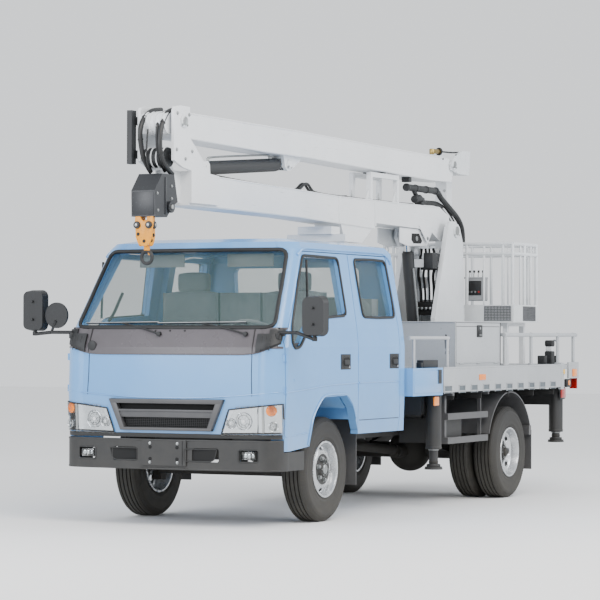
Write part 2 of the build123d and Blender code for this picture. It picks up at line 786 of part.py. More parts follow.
# Side guards between the wheels
with BuildPart() as guards:
    for side in (1, -1):
        low, high = sorted((side * 890, side * 920))
        for z in (697, 502):
            block((-wheelbase + 473, deck_front - 184), (low, high), (z, z + 52))
        for x, half_width in ((deck_front - 204, 18), (-wheelbase + 560, 8)):
            low_p, high_p = sorted((side * 860, side * 890))
            block((x - half_width, x + half_width), (low_p, high_p), (502, board_low))
            low_c, high_c = sorted((side * 860, side * deck_half))
            block((x - half_width, x + half_width), (low_c, high_c), (board_low - 30, board_low))
save(guards, "side_guards")

# Rear wheel arches and mud flaps
with BuildPart() as fenders:
    for side in (1, -1):
        low, high = sorted((side * 500, side * 935))
        with BuildSketch(Plane.XZ.offset(-high)):
            with Locations((fore(-wheelbase), tyre_radius)):
                Circle(tyre_radius + fender_ring)
                Circle(tyre_radius + fender_ring - fender_wall, mode=Mode.SUBTRACT)
                with Locations((0, -178)):
                    Rectangle(1200, 700, mode=Mode.SUBTRACT)
        extrude(amount=high - low)
        block((-wheelbase - 500, -wheelbase - 490), (low, high), (220, 560))
        block((-wheelbase - 490, -wheelbase - 440), (low, high), (520, 600))
        low_f, high_f = sorted((side * 590, side * floor_half))
        block((-470, -462), (low_f, high_f), (250, rear_floor))
save(fenders, "fenders")

# Fuel tank on the right, battery box on the left
with BuildPart() as tanks:
    block((-wheelbase + 720, deck_front - 240), (-850, -rail_y - rail_width), (480, 720))
    block((-wheelbase + 860, deck_front - 340), (rail_y + rail_width, 840), (500, 700))
save(tanks, "tank_and_battery")

# Tail lamps
with BuildPart() as tail:
    for side in (1, -1):
        low, high = sorted((side * 860, side * 930))
        block((-5034, deck_rear), (low, high), (1000, 1110))
        block((-5034, deck_rear + 2), (low, high), (900, 1000))
save(tail, "tail_lamps")

# Turret: base ring, two tall side plates, a cross beam and the lower boom's pin
with BuildPart() as turret:
    bar((slew_x, 0, ring_high), (slew_x, 0, ring_high + base_plate), ring_radius + 60)
    plate = (
        (slew_x + 341, ring_high + base_plate), (slew_x + 341, 1531), (-3700, turret_top - 40), (-3740, turret_top),
        (-3860, turret_top), (-3960, 2340), (-4034, 2200), (-4073, 1531), (-4040, ring_high + base_plate),
    )
    side_pair(plate, plate_half - plate_thick, plate_half)
    block((-3665, -3625), (-plate_half, plate_half), (1980, 2050))
    block((-4060, -4040), (-plate_half, plate_half), (ring_high + base_plate, 1700))
    for side in (1, -1):
        cross_bar(lower_pin[0], lower_pin[1], sorted((side * (lower_half + 2), side * (plate_half + 12))), 60)
    cross_bar(lower_pin[0], lower_pin[1], (-plate_half, plate_half), heel_pin)
    cross_bar(lift_base[0], lift_base[1], (-plate_half, plate_half), 30)
save(turret, "turret")

# Lower boom: a tapered box with a rounded heel, elbow plates at the front and ears below
with BuildPart() as lower:
    side_line = (
        (906, 2314), (906, 2560), (480, 2545), (-1644, 2505), (-3710, 2510), (-3920, 2440), (-3970, 2304),
        (-3920, 2215), (-3700, 2215), (-3500, 2300), (-2369, 2315), (-2329, 2262), (-910, 2300), (880, 2314),
    )
    side_plate(side_line, (-lower_half, lower_half))
    elbow = (
        (1080, 3018), (1150, 3005), (1166, 2978), (1163, 2622), (1040, 2580), (906, 2560), (906, 2330),
        (480, 2330), (480, 2545), (650, 2556), (698, 2622), (901, 2775), (930, 2800), (930, 3018),
    )
    side_pair(elbow, knuckle_half - knuckle_plate, knuckle_half)
    side_pair(((906, 2330), (906, 2560), (480, 2545), (480, 2330)), lower_half - 1, knuckle_half)
    cross_bar(lower_pin[0], lower_pin[1], (-lower_half - 1, lower_half + 1), heel_pin + pin_play, Mode.SUBTRACT)
    side_plate(((906, 2330), (1010, 2330), (1030, 2400), (1064, 2524), (1064, 2560), (906, 2560)), (-60, 60))
    cross_bar(upper_pin[0], upper_pin[1], (-knuckle_half - 14, knuckle_half + 14), pin_radius)
    ears = ((-3180, 2320), (-3430, 2320), (-3400, 2180), (-3320, 2150), (-3230, 2150), (-3160, 2220))
    side_pair(ears, eye_width / 2 + move_gap, eye_width / 2 + move_gap + 24)
    for side in (1, -1):
        ends = sorted((side * (eye_width / 2 + move_gap + 12), side * (eye_width / 2 + move_gap + 44)))
        cross_bar(lift_ear[0], lift_ear[1], ends, 30)
    foot = ((-1683, 2285), (-2330, 2285), (-2091, 2139), (-1761, 2145))
    side_plate(foot, (-120, 120))
    brace = ((452, 2540), (600, 2540), (566, 2625), (540, 2655), (490, 2660), (460, 2635))
    side_pair(brace, eye_width / 2 + move_gap, eye_width / 2 + move_gap + 20)
    cross_bar(fold_base[0], fold_base[1], (-eye_width / 2 - 40, eye_width / 2 + 40), 26)
    for x in (-2330, -2872):
        for side in (1, -1):
            block((x - 20, x + 20), (side * 60, side * 100), (2500, 2700))
    for side in (1, -1):
        block((-2892, -2310), (side * 60, side * 100), (2700, 2741))
save(lower, "lower_boom")

# Upper boom: a box arm with a bracket below for the folding cylinder
with BuildPart() as upper:
    side_line = (
        (1090, 2960), (1060, 2982), (-926, 2980), (-3890, 2953), (-4020, 2940), (-4050, 2850), (-4005, 2747),
        (-3509, 2737), (-1107, 2779), (-320, 2776), (878, 2792), (1040, 2830), (1090, 2870),
    )
    side_plate(side_line, (-upper_half, upper_half))
    cross_bar(upper_pin[0], upper_pin[1], (-upper_half - 1, upper_half + 1), pin_radius + pin_play, Mode.SUBTRACT)
    cross_bar(tip_pin[0], tip_pin[1], (-upper_half - 1, upper_half + 1), pin_radius + pin_play, Mode.SUBTRACT)
    ears = ((-740, 2790), (-775, 2690), (-820, 2660), (-870, 2670), (-1035, 2751), (-1060, 2790))
    side_pair(ears, eye_width / 2 + move_gap, eye_width / 2 + move_gap + 26)
    for side in (1, -1):
        ends = sorted((side * (eye_width / 2 + move_gap + 12), side * (eye_width / 2 + move_gap + 44)))
        cross_bar(fold_ear[0], fold_ear[1], ends, 26)
    cross_bar(1148, 2888, (-100, 100), drum_radius)
save(upper, "upper_boom")


def cylinder_pair(base, eye, barrel_label, rod_label, base_pin):
    """Barrel with its base eye, and the rod with its own eye, between two pins."""
    dx, dz = eye[0] - base[0], eye[1] - base[1]
    length = hypot(dx, dz)
    ux, uz = dx / length, dz / length

    def along(s):
        return (base[0] + ux * s, 0.0, base[1] + uz * s)

    with BuildPart() as barrel:
        cross_bar(base[0], base[1], (-eye_width / 2, eye_width / 2), eye_radius)
        bar(along(20), along(71), eye_width / 2 - 2)
        bar(along(70), along(length - 130), barrel_radius)
        bar(along(length - 131), along(length - 115), barrel_radius - 8)
        bar(along(90), along(length - 80), rod_radius + running_gap, Mode.SUBTRACT)
        cross_bar(base[0], base[1], (-eye_width / 2 - 1, eye_width / 2 + 1), base_pin + pin_play, Mode.SUBTRACT)
    save(barrel, barrel_label)
    with BuildPart() as piston:
        bar(along(100), along(length - 20), rod_radius)
        cross_bar(eye[0], eye[1], (-eye_width / 2, eye_width / 2), eye_radius)
    save(piston, rod_label)


cylinder_pair(lift_base, lift_ear, "lift_cylinder", "lift_rod", 30)
cylinder_pair(fold_base, fold_ear, "fold_cylinder", "fold_rod", 26)

# Winch box on the elbow
with BuildPart() as winch:
    winch_line = (
        (1170, 2215), (1345, 2215), (1350, 2400), (1240, 2524), (1064, 2524), (1030, 2400), (1010, 2330), (1080, 2300),
    )
    side_plate(winch_line, (-winch_half, winch_half))
save(winch, "winch_box")

# Hose drum on the elbow with the black guard beside it
guard_y = (-210, -170)
with BuildPart() as fittings:
    cross_bar(1130, 2645, (-90, 90), drum_radius - 6)
    cross_bar(1130, 2645, (-knuckle_half + knuckle_plate, knuckle_half - knuckle_plate), 20)
    block((1150, 1215), guard_y, (2600, 2985))
    for z in (2640, 2880):
        block((1110, 1160), (guard_y[1] - 1, -knuckle_half), (z, z + 60))
save(fittings, "elbow_fittings")

# Hook hanger, hook block and hook
hook_half, cheek = 24.0, 12.0
with BuildPart() as hanger:
    for side in (1, -1):
        across = (side * (hook_half + 3), side * (hook_half + 3 + cheek))
        block((hook_x - 40, hook_x + 36), across, (hook_pin_z - 20, 2215))
    cross_bar(hook_x, hook_pin_z, (-hook_half - 30, hook_half + 30), hook_pin)
save(hanger, "hook_hanger")

with BuildPart() as hook:
    cross_bar(hook_x, hook_pin_z, (-hook_half, hook_half), 40)
    block_line = ((hook_x - 40, hook_pin_z), (hook_x + 40, hook_pin_z), (hook_x + 58, 2090), (hook_x + 30, 1990),
                  (hook_x - 30, 1990), (hook_x - 58, 2090))
    side_plate(block_line, (-hook_half, hook_half))
    side_plate(block_line[2:] + ((hook_x, 2095),), (-45, 45))
    cross_bar(hook_x, hook_pin_z, (-hook_half - 1, hook_half + 1), hook_pin + pin_play, Mode.SUBTRACT)
    bar((hook_x, 0, 1940), (hook_x, 0, 1995), 18)
    with Locations(Location((fore(hook_x), 0, 1900), (90, 0, 0))):
        Torus(46, 16)
save(hook, "hook_block")

# Basket with its mast and tip bracket
with BuildPart() as basket:
    length = basket_front - basket_rear
    block((basket_rear, basket_front), (-basket_half, basket_half), (basket_low, basket_low + 30))
    wall = 3.0
    block((basket_rear, basket_front), (-basket_half, basket_half), (basket_low + 30, toe_top))
    room_x, room_y = (basket_rear + wall, basket_front - wall), (-basket_half + wall, basket_half - wall)
    block(room_x, room_y, (basket_low + 30, toe_top + 1), Mode.SUBTRACT)
    for z in (basket_top - 17, 2110):
        for y in (-basket_half + 17, basket_half - 17):
            bar((basket_rear + 17, y, z), (basket_front - 17, y, z), 16)
        for x in (basket_rear + 17, basket_front - 17):
            bar((x, -basket_half + 17, z), (x, basket_half - 17, z), 16)
    for y in (-basket_half + 17, 0, basket_half - 17):
        for x in (basket_rear + 17, basket_front - 17):
            bar((x, y, toe_top - 60), (x, y, basket_top - 17), 15)
    for y in (-basket_half + 17, basket_half - 17):
        mid_x = (basket_rear + basket_front) / 2
        bar((mid_x, y, toe_top - 60), (mid_x, y, basket_top - 17), 15)
    low, high = mast_y - mast_width / 2, mast_y + mast_width / 2
    block((mast_front - mast_depth, mast_front), (low, high), (basket_low, 2830))
    cheek = ((-3950, 2900), (-3990, 2960), (-4200, 3038), (-4377, 3038), (-4350, 2823), (-4120, 2823), (-3960, 2850))
    side_pair(cheek, upper_half + running_gap + 4, upper_half + 28)
    block((-4340, -4165), (-upper_half - 20, upper_half + 20), (2823, 2860))
    cross_bar(tip_pin[0], tip_pin[1], (-upper_half - 40, upper_half + 40), pin_radius)
save(basket, "basket")

# Outrigger beams with their jack tubes, and the four jack legs
for side, hand in ((1, "left"), (-1, "right")):
    with BuildPart() as beam:
        low, high = sorted((side * 20, side * (jack_y - jack_radius)))
        block((jack_front_x - beam_half_x, jack_front_x + beam_half_x), (low, high), (beam_low, beam_high))
        bar((jack_front_x, side * jack_y, 470), (jack_front_x, side * jack_y, 895), jack_radius + 8)
        low, high = (jack_front_x, side * jack_y, 460), (jack_front_x, side * jack_y, 880)
        bar(low, high, jack_rod + running_gap, Mode.SUBTRACT)
    save(beam, f"outrigger_beam_{hand}")
    for place, x, low, top in (("front", jack_front_x, front_foot_low, 870), ("rear", jack_rear_x, rear_foot_low, 1045)):
        with BuildPart() as jack:
            bar((x, side * jack_y, low + 20), (x, side * jack_y, top), jack_rod)
            bar((x, side * jack_y, low), (x, side * jack_y, low + 22), foot_radius)
        save(jack, f"{place}_jack_{hand}")
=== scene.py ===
import bpy
import bmesh
import json
from math import atan2, cos, pi, radians, sin
from mathutils import Matrix, Vector

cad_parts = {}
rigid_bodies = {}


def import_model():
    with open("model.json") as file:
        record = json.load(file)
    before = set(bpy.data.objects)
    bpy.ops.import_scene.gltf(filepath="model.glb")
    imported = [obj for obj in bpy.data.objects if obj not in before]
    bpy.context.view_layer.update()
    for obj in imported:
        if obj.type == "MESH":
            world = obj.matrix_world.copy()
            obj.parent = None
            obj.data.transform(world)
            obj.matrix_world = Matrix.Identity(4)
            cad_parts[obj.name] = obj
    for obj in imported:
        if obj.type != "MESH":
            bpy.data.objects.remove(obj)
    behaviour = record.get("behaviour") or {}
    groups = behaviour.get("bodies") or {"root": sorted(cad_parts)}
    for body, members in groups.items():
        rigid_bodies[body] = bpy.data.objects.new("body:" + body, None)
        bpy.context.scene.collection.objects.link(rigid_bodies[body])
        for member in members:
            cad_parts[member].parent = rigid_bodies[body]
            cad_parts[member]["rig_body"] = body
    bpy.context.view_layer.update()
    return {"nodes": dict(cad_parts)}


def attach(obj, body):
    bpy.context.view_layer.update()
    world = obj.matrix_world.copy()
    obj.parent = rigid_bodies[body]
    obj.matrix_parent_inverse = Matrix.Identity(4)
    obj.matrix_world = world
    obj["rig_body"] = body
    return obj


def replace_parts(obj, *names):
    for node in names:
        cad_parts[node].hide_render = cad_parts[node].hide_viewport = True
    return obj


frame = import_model()
nodes = frame["nodes"]
axleX = 1.836  # front axle ahead of the origin, metres
wheelZ = 387.5  # the axles' height and the tyres' radius
rearAxleX = -3360
legY = 868  # the jack legs' distance from the middle


upward = Vector((0, 0, 1))


def at(x, y, z):
    # point given in millimetres from the front axle
    return Vector((axleX + x / 1000, y / 1000, z / 1000))


# ---- camera at the photograph's place, solved from the wheels and the cab
cameraSet = {"place": (17.356, 9.081, 1.373), "yaw": 26.10, "pitch": -0.791, "roll": 0.145, "focal": 2598.4}


def makeCamera(c):
    yaw, pitch = radians(c["yaw"]), radians(c["pitch"])
    forward = Vector((-cos(yaw) * cos(pitch), -sin(yaw) * cos(pitch), -sin(pitch)))
    right = forward.cross(upward).normalized()
    up = right.cross(forward)
    turn = radians(c["roll"])
    right, up = right * cos(turn) + up * sin(turn), up * cos(turn) - right * sin(turn)
    data = bpy.data.cameras.new("camera")
    data.sensor_fit = "HORIZONTAL"
    data.sensor_width = 36
    data.lens = c["focal"] / 600 * 36
    data.clip_end = 200
    camera = bpy.data.objects.new("camera", data)
    bpy.context.scene.collection.objects.link(camera)
    turnMatrix = Matrix((right, up, -forward)).transposed()
    camera.matrix_world = Matrix.Translation(Vector(c["place"]) + Vector((axleX, 0, 0))) @ turnMatrix.to_4x4()
    bpy.context.scene.camera = camera


makeCamera(cameraSet)
print("camera done")


# ---- materials
def hexColor(text):
    # sRGB hex to linear
    parts = [int(text[i:i + 2], 16) / 255 for i in (1, 3, 5)]
    return tuple(p / 12.92 if p <= 0.04045 else ((p + 0.055) / 1.055) ** 2.4 for p in parts) + (1.0,)


def addNode(tree, kind, settings=None, links=None):
    # one node with its settings, socket values and incoming links
    node = tree.nodes.new(kind)
    for key, value in (settings or {}).items():
        if hasattr(node, key) and key not in node.inputs:
            setattr(node, key, value)
        else:
            node.inputs[key].default_value = value
    for key, source in (links or {}).items():
        tree.links.new(source, node.inputs[key])
    return node


def rampNode(tree, source, stops):
    ramp = addNode(tree, "ShaderNodeValToRGB", {}, {0: source})
    while len(ramp.color_ramp.elements) < len(stops):
        ramp.color_ramp.elements.new(0.5)
    for element, (place, color) in zip(ramp.color_ramp.elements, stops):
        element.position = place
        element.color = color
    return ramp.outputs[0]


def gray(v):
    return (v, v, v, 1.0)


def makeFinish(name, color, second, rough=(0.3, 0.45), metallic=0.0, patchScale=2.0, patch=0.5,
               grain=None, dust=None, scratch=None, **shader):
    # coated or moulded surface: colour drifts between two tones, grain in the bump, dust low down
    mat = bpy.data.materials.new(name)
    mat.use_nodes = True
    tree = mat.node_tree
    tree.nodes.clear()
    place = addNode(tree, "ShaderNodeTexCoord").outputs["Object"]
    cloud = addNode(tree, "ShaderNodeTexNoise",
        {"Scale": patchScale, "Detail": 5.0, "Roughness": 0.6}, {"Vector": place})
    blend = rampNode(tree, cloud.outputs["Fac"], [(0.5 - patch / 2, gray(0)), (0.5 + patch / 2, gray(1))])
    mix = addNode(tree, "ShaderNodeMix", {"data_type": "RGBA"}, {0: blend})
    mix.inputs[6].default_value = hexColor(color)
    mix.inputs[7].default_value = hexColor(second)
    tint = mix.outputs[2]
    if scratch:
        # thin worn streaks, stretched along the length
        stretch = addNode(tree, "ShaderNodeMapping", {"Scale": scratch["stretch"]}, {"Vector": place})
        lines = addNode(tree, "ShaderNodeTexNoise", {"Scale": scratch["scale"], "Detail": 3.0},
            {"Vector": stretch.outputs[0]})
        worn = rampNode(tree, lines.outputs["Fac"],
            [(scratch["from"], gray(0)), (scratch["from"] + 0.06, gray(scratch["amount"]))])
        mix = addNode(tree, "ShaderNodeMix", {"data_type": "RGBA"}, {0: worn, 6: tint})
        mix.inputs[7].default_value = hexColor(scratch["color"])
        tint = mix.outputs[2]
    if dust:
        # road dust that thins out with height
        height = addNode(tree, "ShaderNodeSeparateXYZ", {}, {0: place}).outputs[2]
        low = addNode(tree, "ShaderNodeMapRange",
            {"From Min": dust["top"], "From Max": dust["low"], "To Max": dust["amount"]}, {"Value": height})
        speck = addNode(tree, "ShaderNodeTexNoise",
            {"Scale": 9.0, "Detail": 8.0, "Roughness": 0.7}, {"Vector": place})
        share = addNode(tree, "ShaderNodeMath", {"operation": "MULTIPLY"},
            {0: low.outputs[0], 1: speck.outputs["Fac"]})
        mix = addNode(tree, "ShaderNodeMix", {"data_type": "RGBA"}, {0: share.outputs[0], 6: tint})
        mix.inputs[7].default_value = hexColor(dust["color"])
        tint = mix.outputs[2]
    roughMap = addNode(tree, "ShaderNodeMapRange", {"To Min": rough[0], "To Max": rough[1]},
        {"Value": cloud.outputs["Fac"]})
    links = {"Base Color": tint, "Roughness": roughMap.outputs[0]}
    if grain:
        fine = addNode(tree, "ShaderNodeTexNoise", {"Scale": 1000 / grain["size"], "Detail": 2.0}, {"Vector": place})
        bump = addNode(tree, "ShaderNodeBump", {"Strength": grain["depth"], "Distance": 0.001},
            {"Height": fine.outputs["Fac"]})
        links["Normal"] = bump.outputs[0]
    surface = addNode(tree, "ShaderNodeBsdfPrincipled", {"Metallic": metallic, **shader}, links)
    addNode(tree, "ShaderNodeOutputMaterial", {}, {"Surface": surface.outputs[0]})
    return mat


roadDust = {"top": 1.3, "low": 0.35, "amount": 0.5, "color": "#6d6a62"}
# two-pack enamel over steel panels: even gloss, faint orange peel of 3 mm, dust towards the sills
bluePaint = makeFinish("light blue two-pack enamel", "#5f9ad6", "#6ba3da", (0.16, 0.24), patchScale=1.3,
    grain={"size": 3.0, "depth": 0.05}, dust={"top": 1.1, "low": 0.45, "amount": 0.5, "color": "#77797a"},
    **{"Coat Weight": 0.5, "Coat Roughness": 0.08})
# off-white polyurethane paint on the boxed steel arms: half gloss, faint grey drift
whitePaint = makeFinish("off-white polyurethane paint", "#e6e8ea", "#dadde0", (0.28, 0.4), patchScale=1.7,
    grain={"size": 4.0, "depth": 0.06}, dust={"top": 3.2, "low": 2.1, "amount": 0.2, "color": "#9a9d9a"},
    scratch={"stretch": (0.5, 6, 12), "scale": 14, "from": 0.66, "amount": 0.35, "color": "#8f9492"})
turretPaint = makeFinish("pale grey polyurethane paint", "#dcdfe2", "#cfd3d6", (0.3, 0.42), patchScale=2.1,
    grain={"size": 4.0, "depth": 0.06}, dust={"top": 2.4, "low": 1.1, "amount": 0.4, "color": "#84867f"},
    scratch={"stretch": (6, 6, 0.6), "scale": 12, "from": 0.67, "amount": 0.4, "color": "#7d8283"})
# silver paint with aluminium flake on folded sheet
silverPaint = makeFinish("silver flake paint", "#b6b9bc", "#a9adb1", (0.32, 0.44), 0.15, patchScale=2.4,
    grain={"size": 2.0, "depth": 0.08}, dust=roadDust,
    scratch={"stretch": (1.2, 5, 9), "scale": 16, "from": 0.65, "amount": 0.5, "color": "#6c7275"})
rimPaint = makeFinish("polished silver wheel enamel", "#d4d6d8", "#b9bcbf", (0.2, 0.34), 0.65, patchScale=8.0,
    grain={"size": 2.0, "depth": 0.1}, dust={"top": 0.7, "low": 0.1, "amount": 0.25, "color": "#6a6862"})
# chassis enamel, dull with dust and oil
blackPaint = makeFinish("black chassis enamel", "#17181a", "#232527", (0.42, 0.62), patchScale=4.0,
    grain={"size": 3.0, "depth": 0.15}, dust={"top": 1.1, "low": 0.2, "amount": 0.6, "color": "#4d4a44"})
castIron = makeFinish("painted cast iron", "#1c1d1e", "#2b2b2a", (0.6, 0.8), 0.2, patchScale=7.0,
    grain={"size": 5.0, "depth": 0.5}, dust={"top": 0.9, "low": 0.1, "amount": 0.8, "color": "#4d4840"})
slatePaint = makeFinish("dark slate enamel", "#24262a", "#1e2024", (0.3, 0.45), patchScale=4.0,
                        grain={"size": 3.0, "depth": 0.1},
                        scratch={"stretch": (4, 4, 10), "scale": 18, "from": 0.66, "amount": 0.4, "color": "#5d676e"})
yellowPaint = makeFinish("safety yellow enamel", "#e89a00", "#d98c00", (0.32, 0.5), patchScale=9.0,
                         grain={"size": 3.0, "depth": 0.15},
                         scratch={"stretch": (3, 3, 8), "scale": 22, "from": 0.64, "amount": 0.6, "color": "#4a3d20"})
# injection-moulded polypropylene: fine leather grain of 1.5 mm
blackPlastic = makeFinish("grained black polypropylene", "#141517", "#1e2022", (0.45, 0.6), patchScale=5.0,
    grain={"size": 1.6, "depth": 0.3}, dust={"top": 0.9, "low": 0.3, "amount": 0.35, "color": "#55544f"})
grayPlastic = makeFinish("grey ABS", "#5d666c", "#505960", (0.35, 0.5), patchScale=5.0,
    grain={"size": 2.0, "depth": 0.15})
orangeLens = makeFinish("orange acrylic lens", "#f58a1c", "#ec7f18", (0.12, 0.2), patchScale=8.0,
                        grain={"size": 6.0, "depth": 0.3}, **{"Coat Weight": 0.6, "Coat Roughness": 0.05})
amberLens = makeFinish("amber acrylic lens", "#e3b32a", "#d6a622", (0.12, 0.2), patchScale=8.0,
                       grain={"size": 6.0, "depth": 0.3}, **{"Coat Weight": 0.6, "Coat Roughness": 0.05})
redLens = makeFinish("red acrylic lens", "#a8201a", "#931a16", (0.12, 0.2), patchScale=8.0,
                     grain={"size": 6.0, "depth": 0.3}, **{"Coat Weight": 0.6, "Coat Roughness": 0.05})
rubber = makeFinish("vulcanised tyre rubber", "#1b1b1b", "#262523", (0.6, 0.78), patchScale=7.0,
    grain={"size": 3.0, "depth": 0.25}, dust={"top": 0.8, "low": 0.0, "amount": 0.55, "color": "#5c574d"})
hoseRubber = makeFinish("nitrile hose cover", "#161718", "#202122", (0.42, 0.55), patchScale=12.0,
    grain={"size": 2.5, "depth": 0.3})
seal = makeFinish("EPDM rubber seal", "#101112", "#191a1b", (0.5, 0.62), patchScale=10.0,
    grain={"size": 2.0, "depth": 0.15})
# hard chrome over ground steel
chrome = makeFinish("hard chrome plate", "#c9cccf", "#bfc3c6", (0.08, 0.16), 1.0, patchScale=12.0,
                    scratch={"stretch": (1, 14, 14), "scale": 26, "from": 0.66, "amount": 0.3, "color": "#8b8f92"})
steel = makeFinish("zinc plated steel", "#a7a9a8", "#8f9292", (0.28, 0.42), 0.9, patchScale=14.0,
    grain={"size": 2.0, "depth": 0.12})
trimCloth = makeFinish("grey woven seat cloth", "#8b8e90", "#7b7f83", (0.8, 0.92), patchScale=14.0,
                       grain={"size": 4.0, "depth": 0.6}, **{"Sheen Weight": 0.3})
# dark grey moulded panel with half gloss
cowlPlastic = makeFinish("half gloss grey moulding", "#4a4649", "#555156", (0.2, 0.32), patchScale=1.6,
    grain={"size": 1.6, "depth": 0.08}, dust={"top": 1.6, "low": 1.2, "amount": 0.25, "color": "#77767a"})
guardPaint = makeFinish("dark grey powder coat", "#4b4c50", "#424347", (0.38, 0.5), 0.1, patchScale=5.0,
    grain={"size": 2.0, "depth": 0.12}, dust=roadDust)
# brass valve body
brass = makeFinish("cast brass", "#a08a52", "#8a7644", (0.28, 0.42), 0.9, patchScale=14.0,
    grain={"size": 3.0, "depth": 0.2})
# flat black standing in for the shade inside holes, slots and recesses: painted shade
holeShadeBlack = makeFinish("flat black painted hole shade", "#0b0b0c", "#111213", (0.8, 0.9), patchScale=6.0,
    grain={"size": 5.0, "depth": 0.3})


def makeLens():
    # clear polycarbonate with a faint hard-coat wave
    mat = bpy.data.materials.new("hard coated clear polycarbonate")
    mat.use_nodes = True
    tree = mat.node_tree
    tree.nodes.clear()
    coords = addNode(tree, "ShaderNodeTexCoord")
    wave = addNode(tree, "ShaderNodeTexNoise", {"Scale": 14.0, "Detail": 1.0}, {"Vector": coords.outputs["Object"]})
    bump = addNode(tree, "ShaderNodeBump", {"Strength": 0.05, "Distance": 0.002}, {"Height": wave.outputs[0]})
    fres = addNode(tree, "ShaderNodeFresnel", {"IOR": 1.5}, {"Normal": bump.outputs[0]})
    clear = addNode(tree, "ShaderNodeBsdfTransparent", {"Color": hexColor("#fbfcfc")})
    gloss = addNode(tree, "ShaderNodeBsdfGlossy", {"Color": hexColor("#ffffff"), "Roughness": 0.03},
        {"Normal": bump.outputs[0]})
    mix = addNode(tree, "ShaderNodeMixShader", {}, {0: fres.outputs[0], 1: clear.outputs[0], 2: gloss.outputs[0]})
    out = addNode(tree, "ShaderNodeOutputMaterial", {}, {"Surface": mix.outputs[0]})
    return mat


clearLens = makeLens()


def makeGlass():
    # green-tinted tempered glass, thin enough to pass the view without bending it
    mat = bpy.data.materials.new("tempered tinted glass")
    mat.use_nodes = True
    tree = mat.node_tree
    tree.nodes.clear()
    place = addNode(tree, "ShaderNodeTexCoord").outputs["Object"]
    film = addNode(tree, "ShaderNodeTexNoise", {"Scale": 3.0, "Detail": 4.0}, {"Vector": place})
    haze = addNode(tree, "ShaderNodeMapRange", {"To Min": 0.0, "To Max": 0.03}, {"Value": film.outputs["Fac"]})
    glossy = addNode(tree, "ShaderNodeBsdfPrincipled", {"Metallic": 0.0, "IOR": 1.45, "Alpha": 0.2},
                     {"Roughness": haze.outputs[0]})
    glossy.inputs["Base Color"].default_value = hexColor("#5c7370")
    addNode(tree, "ShaderNodeOutputMaterial", {}, {"Surface": glossy.outputs[0]})
    return mat


glass = makeGlass()

bothSides = ((1, "left"), (-1, "right"))
sides = [side for s, side in bothSides]
finishes = {
    "bluePaint": (bluePaint, ["cab_shell",
        "side_lockers"] + [f"{p}_door_{s}" for p in ("front", "rear") for s in sides]),
    "glass": (glass, ["cab_glass"] + [f"{p}_glass_{s}" for p in ("front", "rear") for s in sides]),
    "white": (whitePaint, ["lower_boom", "upper_boom", "boom_and_basket_rests"]),
    "turret": (turretPaint, ["turret", "basket"]),
    "silver": (silverPaint, ["deck", "tool_cabinet", "cabinet_door", "hand_rails"]),
    "rims": (rimPaint, [f"rim_{p}_{s}" for p in ("front", "rear") for s in sides]),
    "rubber": (rubber, [f"tyre_{p}_{s}" for p in ("front", "rear") for s in sides]),
    "black": (blackPaint, ["chassis_frame", "outrigger_frames", "tank_and_battery", "slew_pedestal", "elbow_fittings",
                           "lift_cylinder", "fold_cylinder", "front_bumper"]
              + [f"outrigger_beam_{s}" for s in sides] + [f"{p}_jack_{s}" for p in ("front", "rear") for s in sides]),
    "guard": (guardPaint, ["side_guards", "fenders"]),
    "cowl": (cowlPlastic, ["cowl_panel"]),
    "iron": (castIron, ["front_axle", "rear_axle", "engine_block"] + [f"steering_knuckle_{s}" for s in sides]),
    "plastic": (blackPlastic, ["mirrors"]),
    "grille": (guardPaint, ["grille"]),
    "lens": (clearLens, ["headlamps"]),
    "rods": (chrome, ["lift_rod", "fold_rod"]),
    "tail": (redLens, ["tail_lamps"]),
    "slate": (slatePaint, ["winch_box"]),
    "yellow": (yellowPaint, ["hook_block", "hook_hanger"]),
    "trim": (trimCloth, ["cab_interior"]),
}
for mat, members in finishes.values():
    for name in members:
        slots = nodes[name].data.materials
        slots.clear()
        slots.append(mat)
print("finishes done")


# ---- ways to make a piece
# made pieces wait in a collection that the view layer leaves out, so each new one is quick to make
shelf = bpy.data.collections.new("made pieces")
bpy.context.scene.collection.children.link(shelf)
bpy.context.view_layer.layer_collection.children[shelf.name].exclude = True


def moved(piece, target):
    for collection in list(piece.users_collection):
        collection.objects.unlink(piece)
    target.objects.link(piece)


ringKind = {"smooth": False, "closed": True}


def freshMode():
    if bpy.context.object and bpy.context.object.mode != "OBJECT":
        bpy.ops.object.mode_set(mode="OBJECT")
    for piece in bpy.context.selected_objects:
        piece.select_set(False)


def placed(piece):
    # place, turn and scale go into the mesh
    piece.data.transform(piece.matrix_basis)
    piece.matrix_basis = Matrix.Identity(4)


def meshPiece(name, points, edges, faces):
    # new object with its own mesh, from points already in metres
    mesh = bpy.data.meshes.new(name)
    mesh.from_pydata(points, edges, faces)
    piece = bpy.data.objects.new(name, mesh)
    bpy.context.scene.collection.objects.link(piece)
    return piece


def editMode(piece):
    # everything of one piece selected in edit mode
    piece.select_set(True)
    bpy.context.view_layer.objects.active = piece
    bpy.ops.object.mode_set(mode="EDIT")
    bpy.ops.mesh.select_all(action="SELECT")


def closedUp(reach):
    # points closer than reach merged, normals outward, back to object mode
    bpy.ops.mesh.select_all(action="SELECT")
    bpy.ops.mesh.remove_doubles(threshold=reach)
    bpy.ops.mesh.normals_make_consistent(inside=False)
    bpy.ops.object.mode_set(mode="OBJECT")


